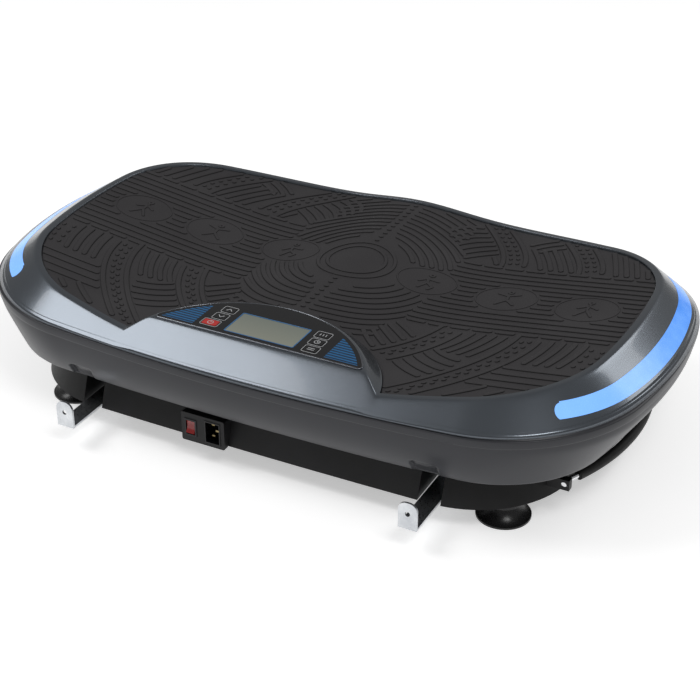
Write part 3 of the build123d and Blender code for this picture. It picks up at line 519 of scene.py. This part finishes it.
# %% [markdown]
# ## The mat
# A grey rubber mat lies in the pocket. Its body is a thin closed slab whose top is the deck's
# height, laid on a grid of columns between the mat's front and rear edges. The tread stands on it
# as separate rounded bars, because that keeps every bar's end crisp at any distance.

# %% the mat's front and rear edge as functions of x
order = np.argsort(mat_edge[:, 0])
split = mat_edge[order[-1], 1]
is_front = mat_edge[:, 1] < split
front_x, front_y = mat_edge[is_front].T
rear_x, rear_y = mat_edge[~is_front].T
front_sort, rear_sort = np.argsort(front_x), np.argsort(rear_x)
MAT_END = float(mat_edge[:, 0].max()) - 0.0004


def mat_front(x):
    """Front edge of the mat over x."""
    return np.interp(x, front_x[front_sort], front_y[front_sort]) + 0.0003


def mat_rear(x):
    """Rear edge of the mat over x."""
    return np.interp(x, rear_x[rear_sort], rear_y[rear_sort]) - 0.0003


def mat_slab():
    """Closed slab: each column runs over the top from front to rear and back underneath."""
    turn = np.linspace(-math.pi / 2, math.pi / 2, 301)
    x = MAT_END * np.sin(turn)[:, None]
    front, rear = mat_front(x), np.maximum(mat_rear(x), mat_front(x) + 0.0002)
    t = np.linspace(0, 1, 90)[None, :]
    top_y = front + (rear - front) * t
    top_z = deck_height(x) + 0 * top_y
    edge_soft = np.minimum(top_y - front, rear - top_y)
    top_z = top_z - 0.0012 * np.exp(-edge_soft / 0.0012)
    under_y, under_z = top_y[:, ::-1], top_z[:, ::-1] * 0 + deck_height(x) - 0.0048
    y, z = np.concatenate([top_y, under_y], 1), np.concatenate([top_z, under_z], 1)
    return np.stack([x + 0 * y, y, z], -1)


slab = mat_slab()
faces = grid_faces(*slab.shape[:2], close_cols=True)[:, ::-1]
half_cols = slab.shape[1] // 2
k = np.arange(half_cols - 1)
last = (slab.shape[0] - 1) * slab.shape[1]
cap = np.stack([k, k + 1, 2 * half_cols - 2 - k, 2 * half_cols - 1 - k], -1)
faces = np.concatenate([faces, cap, (cap + last)[:, ::-1]])

# %% [markdown]
# Rubber is matt and slightly dusty. The tread's value called depth is 0 on the bars' tops and 1
# at their feet, and darkens the bars' sides and the creases at their feet: a painted shade.

# %% the rubber's finish
tread_rubber, tree, shader, place = new_finish("tread_rubber")
cloud = spread(tree, noise(tree, place, 11.0, 5.0), 0.0, 1.0)
fine = noise(tree, place, 1400.0, 3.0)
tint = blend_colour(tree, cloud, (0.034, 0.032, 0.034), (0.043, 0.041, 0.043))
# painted shade: the value called depth darkens the bars' sides and feet towards near black
crease_shade = tree.nodes.new("ShaderNodeAttribute")
crease_shade.attribute_name = "depth"
tint = blend_colour(tree, crease_shade.outputs["Fac"], tint, (0.004, 0.004, 0.004))
tree.links.new(tint, shader.inputs["Base Color"])
tree.links.new(spread(tree, fine, 0.52, 0.68), shader.inputs["Roughness"])
add_bump(tree, shader, fine, 0.22, 0.0003)
shader.inputs["Specular IOR Level"].default_value = 0.22

mat_body = make_piece("mat_body", slab, faces, "platform", tread_rubber, depth=np.zeros(slab.size // 3),
                      sharp=60)
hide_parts("mat")

# %% [markdown]
# ## The tread
# The tread is drawn the way a mould maker would: a list of centre lines in plan, each cut off
# where it meets an oval, the rim or the console, and then a rounded section carried along what is
# left. Every bar gets round ends by shrinking its last few sections on a quarter circle.

# %% a bar with round ends
SECTION = np.array([[-1.06, -0.45], [-0.97, 0.55], [-0.72, 1.0], [0.72, 1.0], [0.97, 0.55], [1.06, -0.45]])
# 1 at the section's feet and 0 on its top: these marks set where the bars' sides and feet get painted shade
SECTION_SHADE = np.array([1.0, 0.85, 0.0, 0.0, 0.85, 1.0])
END_TURNS = np.radians([78.0, 45.0, 18.0])


def raised_bar(path, width, height, ground):
    """The section carried along a plan path, standing on ground(x, y); its width and reach follow
    a quarter circle at both ends. Returns points, quads and the depth mark, which sets the painted shade on
    the bars' sides and feet."""
    tangent = np.gradient(path, axis=0)
    tangent = tangent / np.hypot(tangent[:, 0], tangent[:, 1])[:, None]
    lead = path[0] - tangent[0] * (np.sin(END_TURNS) * width / 2)[:, None]
    tail = path[-1] + tangent[-1] * (np.sin(END_TURNS[::-1]) * width / 2)[:, None]
    line = np.concatenate([lead, path, tail])
    ends = np.cos(END_TURNS)
    scale = np.concatenate([ends, np.ones(len(path)), ends[::-1]])
    tangent = np.concatenate([np.tile(tangent[0], (3, 1)), tangent, np.tile(tangent[-1], (3, 1))])
    normal = np.stack([tangent[:, 1], -tangent[:, 0]], -1)
    offset = SECTION[None, :, 0] * (width / 2) * scale[:, None]
    plan = line[:, None, :] + normal[:, None, :] * offset[..., None]
    rise = SECTION[None, :, 1] * height * np.where(SECTION[None, :, 1] > 0, scale[:, None] ** 0.35, 1.0)
    z = ground(plan[..., 0], plan[..., 1]) + rise
    points = np.concatenate([plan, z[..., None]], -1)
    rings = len(line)
    faces = grid_faces(rings, 6, close_cols=True)
    shut = np.array([[0, 1, 4, 5], [1, 2, 3, 4]])
    faces = np.concatenate([faces, shut[:, ::-1], shut + (rings - 1) * 6])
    return points.reshape(-1, 3), faces, np.tile(SECTION_SHADE, rings)


def gather(bars):
    """Several bars as one set of points, quads and marks."""
    starts = np.cumsum([0] + [len(b[0]) for b in bars[:-1]])
    points = np.concatenate([b[0] for b in bars])
    faces = np.concatenate([b[1] + s for b, s in zip(bars, starts)])
    return points, faces, np.concatenate([b[2] for b in bars])


# %% [markdown]
# The centre lines come from three helpers: a straight or bent line through three points, an arc,
# and rows of dots. Each is sampled finely, masked and split into the runs that remain.

# %% centre lines
OVALS = np.array([[0.280, 0.0357], [0.1857, 0.0425], [0.0873, 0.0495]])
OVAL_HALF = (0.0365, 0.0300)
DISC = (0.0, 0.047)


def bent(start, through, stop, count=160):
    """A curve from start to stop that leans towards through: a quadratic blend of the three."""
    t = np.linspace(0, 1, count)[:, None]
    start, through, stop = (np.array(p, float) for p in (start, through, stop))
    control = 2 * through - (start + stop) / 2
    return (1 - t) ** 2 * start + 2 * t * (1 - t) * control + t ** 2 * stop


def around(centre, radius, start, stop, count=220):
    """An arc about a centre between two angles in degrees."""
    a = np.radians(np.linspace(start, stop, count))
    return np.stack([centre[0] + radius * np.cos(a), centre[1] + radius * np.sin(a)], -1)


BANDS = [
    bent((-0.252, 0.1235), (-0.238, 0.160), (-0.206, 0.208)), bent((-0.160, 0.1235), (-0.142, 0.168),
                                                                   (-0.100, 0.222)),
    bent((-0.246, -0.0450), (-0.220, -0.115), (-0.152, -0.190)), bent((-0.158, -0.0450), (-0.142, -0.083),
                                                                      (-0.112, -0.120))]
BAND_REACH = 0.0195


def off_bands(path):
    """True where a path keeps clear of every dotted band's middle line."""
    far = [np.hypot(*(path[:, None, :] - band[None, ::4, :]).transpose(2, 0,
                                                                       1)).min(axis=1) for band in BANDS]
    return np.min(far, axis=0) > BAND_REACH


def free(path, margin, keep_ovals=True):
    """True where a path is on the mat, clear of the ovals."""
    x, y = path.T
    inside = ((np.abs(x) < MAT_END - margin) & (y > mat_front(x) + margin * 1.25)
              & (y < mat_rear(x) - margin * 1.1))
    for cx, cy in OVALS if keep_ovals else ():
        far = (((np.abs(x) - cx) / (OVAL_HALF[0] + margin * 0.7)) ** 2
               + ((y - cy) / (OVAL_HALF[1] + margin * 0.7)) ** 2)
        inside &= far > 1
    return inside


def runs(path, margin=0.0055, shortest=0.007, keep_ovals=True, in_band=False):
    """The free stretches of a path, each sampled again about every 9 mm."""
    clear = free(path, margin,
                 keep_ovals) & (in_band | off_bands(path) | (np.abs(path[:, 1] - 0.039) < 0.0790))
    good = np.concatenate([[False], clear, [False]])
    change = np.flatnonzero(good[1:] != good[:-1])
    out = []
    for a, b in zip(change[::2], change[1::2]):
        piece = path[a:b]
        if len(piece) < 3:
            continue
        length = np.concatenate([[0], np.cumsum(np.hypot(*np.diff(piece, axis=0).T))])
        if length[-1] < shortest:
            continue
        s = np.linspace(0, length[-1], int(np.clip(length[-1] / 0.009, 1, 40)) + 2)
        out.append(np.stack([np.interp(s, length, piece[:, 0]), np.interp(s, length, piece[:, 1])], -1))
    return out


def dots_along(path, pitch=0.0125):
    """Very short stretches at an even pitch along a path, where it is free."""
    length = np.concatenate([[0], np.cumsum(np.hypot(*np.diff(path, axis=0).T))])
    s = np.arange(pitch / 2, length[-1], pitch)
    a = np.stack([np.interp(s, length, path[:, 0]), np.interp(s, length, path[:, 1])], -1)
    b = np.stack([np.interp(s + 0.0012, length, path[:, 0]), np.interp(s + 0.0012, length, path[:, 1])], -1)
    good = free(a, 0.004)
    return [np.stack([p, q]) for p, q in zip(a[good], b[good])]


# %% the left half's lines, drawn once and mirrored
lines, dots = [], []
for k in range(13):
    y = 0.1035 - 0.011 * k
    lines += runs(bent((-0.336, y), (-0.22, y + 0.0006), (-0.108 + 0.0008 * abs(k - 6), y), 400))
for y in (0.1155, -0.0375):
    for k in range(9):
        x = -0.3270 + 0.0255 * k
        lines += runs(bent((x, y), (x + 0.009, y), (x + 0.0165, y), 40))
for k in range(5):
    lines += runs(bent((-0.318 + 0.0122 * k, 0.1235), (-0.309 + 0.0122 * k, 0.150),
                       (-0.297 + 0.0122 * k, 0.181)))
for k in range(6):
    lines += runs(bent((-0.230 + 0.0122 * k, 0.1235), (-0.219 + 0.0122 * k, 0.147),
                       (-0.203 + 0.0122 * k, 0.176 - 0.001 * k)))
for k in range(3):
    lines += runs(around((-0.222, 0.128), 0.060 + 0.0115 * k, 42, 78))
for k in range(7):
    lines += runs(bent((-0.146 + 0.0085 * k, 0.1570 + 0.0085 * k), (-0.122 + 0.0085 * k, 0.1440 + 0.0085 * k),
                       (-0.101 + 0.0070 * k, 0.1250 + 0.0080 * k)))
lines += runs(bent((-0.140, 0.1235), (-0.136, 0.131), (-0.131, 0.139)))
for path, down in zip(BANDS, (-0.25, -0.25, 0.35, 0.35)):
    for aside in (-0.0125, 0.0125):
        lines += runs(path + (aside, down * aside), in_band=True)
    dots += dots_along(path + (-0.0040, 0.001)) + dots_along(path + (0.0042, -0.001))
for k in range(6):
    lines += runs(bent((-0.309 + 0.0122 * k, -0.0465), (-0.306 + 0.0122 * k, -0.070),
                       (-0.298 + 0.0122 * k, -0.0965)))
for k, y in enumerate((-0.1100, -0.1225, -0.1350, -0.1475)):
    lines += runs(bent((-0.325, y), (-0.28, y), (-0.246 + 0.0085 * k, y + 0.001), 200))
for k in range(6):
    lines += runs(bent((-0.221 + 0.0122 * k, -0.0465), (-0.213 + 0.0122 * k, -0.070),
                       (-0.200 + 0.0118 * k, -0.094 + 0.002 * k)))
for k in range(5):
    lines += runs(around((-0.208, -0.040), 0.068 + 0.0118 * k, -78, -47 + 2 * k))
for k in range(6):
    lines += runs(bent((-0.134 + 0.0075 * k, -0.0770 - 0.0090 * k),
                       (-0.118 + 0.0075 * k, -0.0630 - 0.0090 * k),
                       (-0.100 + 0.0060 * k, -0.0500 - 0.0090 * k)))
for k in range(4):
    lines += runs(bent((-0.262 + 0.020 * k, -0.1570 + 0.0050 * k), (-0.240 + 0.020 * k, -0.1740 + 0.0040 * k),
                       (-0.214 + 0.020 * k, -0.1900 + 0.0030 * k)))
dots += dots_along(bent((-0.329, -0.050), (-0.327, -0.075), (-0.319, -0.100))) + \
    dots_along(bent((-0.317, -0.048), (-0.315, -0.075), (-0.309, -0.100)))
print("lines on one half", len(lines), "dots", len(dots))

# %% the broken rings about the disc
for k in range(1, 17):
    radius = 0.0430 + 0.0106 * k
    for low, high in ((93.5 + 90 / k ** 2, 180), (180, 266.5 - 90 / k ** 2)):
        stretch = around(DISC, radius, low, high, 500)
        reach = np.where(stretch[:, 1] > 0.13, 0.084, np.where(stretch[:, 1] < -0.045, 0.086, 0.098))
        stretch = stretch[(np.abs(stretch[:, 0]) < reach) & (np.abs(stretch[:, 0]) > 0.0045)]
        gap = (np.abs(stretch[:, 1] - 0.0495) < 0.030) & (stretch[:, 0] < -0.046)
        for part in (stretch[~gap & (stretch[:, 1] > DISC[1])], stretch[~gap & (stretch[:, 1] <= DISC[1])]):
            if len(part) > 12:
                lines += runs(part)
mirror = np.array([-1.0, 1.0])
lines += [line * mirror for line in lines]
dots += [dot * mirror for dot in dots]
for k in range(1, 17):
    radius = 0.0430 + 0.0106 * k
    for angle in (90.0, 270.0):
        dots += dots_along(around(DISC, radius, angle - 0.15 / radius, angle + 0.15 / radius, 8), 0.0052)[:1]
print("bars in all", len(lines) + len(dots))

# %% the tread's pieces
TREAD_HEIGHT = 0.0012


def deck_ground(x, y):
    """The mat's top under a bar."""
    return deck_height(x)


bars = [raised_bar(line, 0.0060, TREAD_HEIGHT, deck_ground) for line in lines]
points, faces, depth = gather(bars)
tread = make_piece("mat_tread", points, faces, "platform", tread_rubber, depth=depth, sharp=35)
bars = [raised_bar(dot, 0.0044, TREAD_HEIGHT, deck_ground) for dot in dots]
points, faces, depth = gather(bars)
studs = make_piece("mat_studs", points, faces, "platform", tread_rubber, depth=depth, sharp=35)

# %% [markdown]
# The disc and the six ovals are plain islands. Each is ringed by a fine raised line, and the ovals
# carry a simple stick figure that shows a way to stand: only strokes, no lettering.

# %% rings and figures on the islands
def closed_rib(path, width, height, ground):
    """The same section carried round a closed path."""
    normal = -inward(path)
    plan = path[:, None, :] + normal[:, None, :] * (SECTION[None, :, 0] * width / 2)[..., None]
    z = ground(plan[..., 0], plan[..., 1]) + SECTION[None, :, 1] * height
    points = np.concatenate([plan, z[..., None]], -1)
    return points.reshape(-1, 3), grid_faces(len(path), 6, True, True), np.tile(SECTION_SHADE, len(path))


turn = np.linspace(0, 2 * math.pi, 96, endpoint=False)
circle = np.stack([np.cos(turn), np.sin(turn)], -1)
ribs = [closed_rib(circle * r + DISC, 0.0042, 0.0010, deck_ground) for r in (0.0335, 0.0440)]
ribs += [closed_rib(circle * (0.0345, 0.0282) + (side * cx, cy), 0.0016, 0.0005, deck_ground)
         for side in (-1, 1) for cx, cy in OVALS]
points, faces, depth = gather(ribs)
island_rings = make_piece("island_rings", points, faces, "platform", tread_rubber, depth=depth, sharp=35)

FIGURES = (
    (((0, 8), (0, -2)), ((0, 6), (-7, 1)), ((0, 6), (7, 1)), ((0, -2), (-6, -13)), ((0, -2), (6, -13))),
    (((0, 7), (1, -3)), ((0, 5), (-8, 8)), ((0, 5), (8, 9)), ((1, -3), (-5, -12)), ((1, -3), (8, -11))),
    (((-1, 7), (1, -2)), ((-1, 5), (-6, -2)), ((-1, 5), (8, 4)), ((1, -2), (-3, -13)), ((1, -2), (7, -8)),
     ((7, -8), (5, -13))),
)


def figure_strokes(strokes, centre):
    """Bars for a stick figure's strokes, in millimetres about a centre."""
    out = []
    for a, b in strokes:
        path = np.array([a, b], float) * (0.00150, 0.00125) + centre
        t = np.linspace(0, 1, 3)[:, None]
        out.append(raised_bar(path[0] * (1 - t) + path[1] * t, 0.0036, 0.0008, deck_ground))
    return out


strokes = []
for side in (-1, 1):
    for (cx, cy), figure in zip(OVALS, FIGURES):
        centre = np.array([side * cx, cy])
        strokes += figure_strokes(figure, centre)
        strokes.append(closed_rib(circle[::6] * 0.0025 + centre + (0, 0.0150), 0.0030, 0.0008, deck_ground))
points, faces, depth = gather(strokes)
figures = make_piece("island_figures", points, faces, "platform", tread_rubber, depth=depth, sharp=35)

# %% [markdown]
# ## The console
# The panel is a glossy black print with a blue field of fine stripes at each end. The print is a
# node tree on Object coordinates, so it needs no picture: a mask from the distance to the arc's
# centre, one from x and one from y, and stripes from a sine of y.

# %% the printed panel
def step_node(tree, value, low, high):
    """A smooth mask that rises from 0 to 1 between low and high."""
    node = tree.nodes.new("ShaderNodeMapRange")
    node.interpolation_type = "SMOOTHSTEP"
    node.inputs["From Min"].default_value = low
    node.inputs["From Max"].default_value = high
    tree.links.new(value, node.inputs["Value"])
    return node.outputs["Result"]


def sum_node(tree, kind, first, second=None):
    """One step of arithmetic on sockets or numbers."""
    node = tree.nodes.new("ShaderNodeMath")
    node.operation = kind
    for socket, value in zip(node.inputs, (first, second)):
        if isinstance(value, bpy.types.NodeSocket):
            tree.links.new(value, socket)
        elif value is not None:
            socket.default_value = value
    return node.outputs[0]


panel_print, tree, shader, place = new_finish("panel_print")
split_xyz = tree.nodes.new("ShaderNodeSeparateXYZ")
tree.links.new(place, split_xyz.inputs[0])
x_out, y_out = split_xyz.outputs["X"], split_xyz.outputs["Y"]
from_middle = sum_node(tree, "ABSOLUTE", x_out)
y_off = sum_node(tree, "SUBTRACT", y_out, CONSOLE_Y)
square = sum_node(tree, "ADD", sum_node(tree, "MULTIPLY", x_out, x_out),
                  sum_node(tree, "MULTIPLY", y_off, y_off))
radius = sum_node(tree, "SQRT", square)
within = sum_node(tree, "SUBTRACT", 1.0, step_node(tree, radius, 0.1322, 0.1328))
field = sum_node(tree, "MULTIPLY", within, step_node(tree, from_middle, 0.0775, 0.0781))
field = sum_node(tree, "MULTIPLY", field, step_node(tree, y_out, -0.1792, -0.1786))
wave = sum_node(tree, "SINE", sum_node(tree, "MULTIPLY", y_out, 2 * math.pi / 0.0045))
stripe = step_node(tree, wave, -0.5, 0.7)
mottle = noise(tree, place, 500.0, 2.0)
blue = blend_colour(tree, stripe, (0.003, 0.012, 0.030), (0.012, 0.135, 0.330))
blue = blend_colour(tree, spread(tree, mottle, 0.0, 0.5), blue, (0.006, 0.060, 0.150))
tree.links.new(blend_colour(tree, field, (0.004, 0.004, 0.005), blue), shader.inputs["Base Color"])
tree.links.new(spread(tree, mottle, 0.14, 0.22), shader.inputs["Roughness"])
shader.inputs["Coat Weight"].default_value = 0.15
shader.inputs["Coat Roughness"].default_value = 0.05
shader.inputs["Specular IOR Level"].default_value = 0.25

# %% the display's finish
lcd_face, tree, shader, place = new_finish("lcd_face")
split_xyz = tree.nodes.new("ShaderNodeSeparateXYZ")
tree.links.new(place, split_xyz.inputs[0])
fade = spread(tree, split_xyz.outputs["Y"], 0.0, 1.0, -0.176, -0.136)
warm = blend_colour(tree, fade, (0.25, 0.26, 0.21), (0.17, 0.19, 0.16))
speck = spread(tree, noise(tree, place, 1800.0, 1.0), 0.0, 0.25)
tree.links.new(blend_colour(tree, speck, warm, (0.15, 0.17, 0.14)), shader.inputs["Base Color"])
tree.links.new(spread(tree, noise(tree, place, 300.0), 0.16, 0.24), shader.inputs["Roughness"])
shader.inputs["Coat Weight"].default_value = 0.4

# %% [markdown]
# The silver line round the panel, the display's blue frame and the white frames and signs of the
# keys are thin ribs of the same section. They stand on the panel or ride on their own key, so
# they sink with it when it is pressed.

# %% the panel's edge line and the keys' marks
PANEL_R = 0.137
PANEL_FRONT = -0.1825
PANEL_TOP = 0.1561


def flat_ground(height):
    """A level ground for marks on a flat face."""
    return lambda x, y: height + 0 * x


def d_path(inset):
    """The panel's outline: arc, then two rounded tips and the straight front, counter-clockwise."""
    r, y, tip = PANEL_R - inset, PANEL_FRONT + inset, 0.004
    tip_x = math.sqrt((r - tip) ** 2 - (y + tip - CONSOLE_Y) ** 2)
    lean_to = math.atan2(y + tip - CONSOLE_Y, tip_x)
    big = around((0, CONSOLE_Y), r, math.degrees(lean_to), 180 - math.degrees(lean_to), 120)
    right = around((tip_x, y + tip), tip, -90, math.degrees(lean_to), 8)
    left = around((-tip_x, y + tip), tip, 180 - math.degrees(lean_to), 270, 8)
    return np.concatenate([right, big[1:-1], left,
                           np.stack([np.linspace(-tip_x, tip_x, 30)[1:-1], np.full(28, y)], -1)])


def rounded_box(centre, width, depth, corner):
    """A rounded rectangle, counter-clockwise: four quarter turns of six points each."""
    quarter = np.radians(np.linspace(0, 90, 6))
    parts = []
    for sx, sy, turn in ((1, -1, -90), (1, 1, 0), (-1, 1, 90), (-1, -1, 180)):
        a = quarter + math.radians(turn)
        mid = np.array([sx * (width / 2 - corner), sy * (depth / 2 - corner)]) + centre
        parts.append(mid + corner * np.stack([np.cos(a), np.sin(a)], -1))
    return np.concatenate(parts)


points, faces, depth = closed_rib(d_path(-0.0006), 0.0016, 0.0010, flat_ground(CONSOLE_Z))
edge_line = make_piece("panel_edge_line", points, faces, "platform", trim_silver, depth=depth)

display_blue = moulded("display_blue", (0.02, 0.12, 0.30), (0.04, 0.17, 0.38), (0.3, 0.4), 60.0, 900.0, 0.02)
points, faces, depth = closed_rib(rounded_box((0, -0.156), 0.0812, 0.0412, 0.0012), 0.0012, 0.00025,
                                  flat_ground(PANEL_TOP))
display_frame = make_piece("display_frame", points, faces, "platform", display_blue, depth=depth)

KEYS = {
    "button_up": (-0.0570, -0.1370, 0.0140, 0.0110), "button_down": (-0.0585, -0.1530, 0.0140, 0.0110),
    "button_start": (-0.0615, -0.1690, 0.0180, 0.0110), "button_mode": (0.0570, -0.1400, 0.0150, 0.0110),
    "button_time": (0.0580, -0.1555, 0.0150, 0.0110), "button_program": (0.0590, -0.1710, 0.0150, 0.0110),
}
SIGNS = {
    "button_up": (((-3.2, -1.8), (0, 1.8)), ((0, 1.8), (3.2, -1.8))),
    "button_down": (((-3.2, 1.8), (0, -1.8)), ((0, -1.8), (3.2, 1.8))),
    "button_start": (((0, 0.4), (0, 3.0)),),
    "button_mode": (((-3.4, -1.6), (-3.4, 1.6)), ((0, -1.6), (0, 1.6)), ((3.4, -1.6), (3.4, 1.6))),
    "button_time": (((0, 0), (0, 1.9)), ((0, 0), (1.5, -0.6))),
    "button_program": (((-3.6, 1.5), (3.6, 1.5)), ((-3.6, -1.5), (3.6, -1.5))),
}
frames = [closed_rib(rounded_box((x, y), w + 0.0024, d + 0.0022, 0.0022), 0.0006, 0.00025,
                     flat_ground(PANEL_TOP))
          for x, y, w, d in KEYS.values()]
points, faces, depth = gather(frames)
key_frames = make_piece("key_frames", points, faces, "platform", mark_white, depth=depth)

# %% signs on the keys
KEY_TOP = 0.1565
t3 = np.linspace(0, 1, 3)[:, None]
for key, (x, y, w, d) in KEYS.items():
    signs = []
    for a, b in SIGNS[key]:
        a, b = np.array(a) / 1000 + (x, y), np.array(b) / 1000 + (x, y)
        signs.append(raised_bar(a * (1 - t3) + b * t3, 0.0009, 0.00015, flat_ground(KEY_TOP)))
    if key in ("button_start", "button_time"):
        signs.append(closed_rib(circle[::6] * 0.0031 + (x, y), 0.0008, 0.00015, flat_ground(KEY_TOP)))
    points, faces, depth = gather(signs)
    sign = make_piece(key.replace("button", "sign"), points, faces, key, mark_white, depth=depth)

# %% [markdown]
# ## The light strips
# Translucent strips glow in the two end aprons. The frame's lenses already have the right shape,
# so they only need light: a pale blue that grows stronger towards the rear.

# %% the glow
strip_glow, tree, shader, place = new_finish("strip_glow")
split_xyz = tree.nodes.new("ShaderNodeSeparateXYZ")
tree.links.new(place, split_xyz.inputs[0])
back = spread(tree, split_xyz.outputs["Y"], 0.0, 1.0, -0.15, 0.10)
glow = blend_colour(tree, back, (0.16, 0.36, 0.80), (0.040, 0.19, 0.62))
ripple = spread(tree, noise(tree, place, 60.0, 2.0), 0.0, 0.25)
glow = blend_colour(tree, ripple, glow, (0.20, 0.42, 0.86))
tree.links.new(glow, shader.inputs["Base Color"])
tree.links.new(glow, shader.inputs["Emission Color"])
tree.links.new(spread(tree, noise(tree, place, 800.0), 0.18, 0.3), shader.inputs["Roughness"])
shader.inputs["Emission Strength"].default_value = 0.75

# %% [markdown]
# ## Finishes for the frame's own parts
# Feet, pan, brackets, handle, drive and electronics keep the frame's shapes. A table gives each
# material slot of the record one of the finishes above.

# %% finish every carried-over part
BY_SLOT = {
    "metallic_blue": cover_lacquer, "slate": skirt_satin, "mat_rubber": tread_rubber,
    "black_gloss": panel_black,
    "black_pan": pan_plastic, "zinc": zinc_plate, "foot_rubber": foot_rubber, "chrome": rod_chrome,
    "steel": plain_steel, "led_blue": strip_glow, "lcd_glass": lcd_face, "lcd_body": lcd_backing,
    "circuit": circuit_green, "red_lens": rocker_red, "key_white": panel_black, "key_red": key_red,
    "belt_rubber": grip_rubber, "cast": cast_grey, "alu": turned_alloy, "brass_pin": contact_brass,
}
for part in frame["record"]["subparts"]:
    node = frame["nodes"][part["node"]]
    finish = panel_print if part["node"] == "console_overlay" else BY_SLOT[part["material_slot"]]
    if not node.material_slots:
        node.data.materials.append(finish)
    for place_in in node.material_slots:
        place_in.material = finish

# %% [markdown]
# ## Floor, light and camera
# A wide pale floor, a bright even sky and three soft panels: one large above and in front, whose
# reflection runs along the apron, one behind for the mat's sheen, and a weak one from the right.

# %% the floor
floor_mesh = bpy.data.meshes.new("floor")
floor_mesh.from_pydata([(-8, -8, 0), (8, -8, 0), (8, 8, 0), (-8, 8, 0)], [], [(0, 1, 2, 3)])
floor = bpy.data.objects.new("floor", floor_mesh)
bpy.context.scene.collection.objects.link(floor)
floor_mesh.materials.append(moulded("floor_paper", (0.90, 0.90, 0.90), (0.93, 0.93, 0.93), (0.7, 0.8), 2.0,
                                    200.0, 0.0, level=0.1))
floor_shader = floor_mesh.materials[0].node_tree.nodes["Principled BSDF"]
floor_shader.inputs["Emission Color"].default_value = (1.0, 1.0, 1.0, 1.0)
floor_shader.inputs["Emission Strength"].default_value = 0.45

# %% lights and sky
scene = bpy.context.scene
scene.view_settings.view_transform = "Standard"
world = bpy.data.worlds.new("pale_sky")
scene.world = world
world.use_nodes = True
world.node_tree.nodes["Background"].inputs["Color"].default_value = (1.0, 1.0, 1.0, 1.0)
world.node_tree.nodes["Background"].inputs["Strength"].default_value = 0.32


def soft_panel(name, place, target, size, power):
    """A square area light that faces a target."""
    lamp = bpy.data.lights.new(name, "AREA")
    lamp.shape = "RECTANGLE"
    lamp.size, lamp.size_y = size
    lamp.energy = power
    obj = bpy.data.objects.new(name, lamp)
    scene.collection.objects.link(obj)
    away = np.array(target, float) - np.array(place, float)
    yaw = math.atan2(-away[0], away[1])
    pitch = math.atan2(away[2], math.hypot(away[0], away[1]))
    obj.location = place
    obj.rotation_euler = (math.pi / 2 + pitch, 0.0, yaw)
    return obj


soft_panel("top_panel", (-1.75, -0.85, 2.4), (-0.2, -0.1, 0.1), (1.4, 1.2), 27.0)
soft_panel("front_panel", (1.3, -1.0, 2.1), (0.1, 0.0, 0.1), (0.9, 0.7), 15.0)
soft_panel("rear_panel", (1.3, 1.8, 1.8), (0.0, 0.0, 0.1), (1.0, 0.8), 10.0)

# %% the camera
lens = bpy.data.cameras.new("view")
SENSOR = 36.0
FOCUS_OVER_WIDTH = 1600.0 / 700.0
lens.sensor_width = SENSOR
lens.lens = FOCUS_OVER_WIDTH * SENSOR
camera = bpy.data.objects.new("view", lens)
camera.location = (0.7403, -1.4067, 0.9629)
LOOK_DOWN, LOOK_LEFT = 0.52, 0.4757
camera.rotation_euler = (math.pi / 2 - LOOK_DOWN, 0.0, LOOK_LEFT)
scene.collection.objects.link(camera)
scene.camera = camera
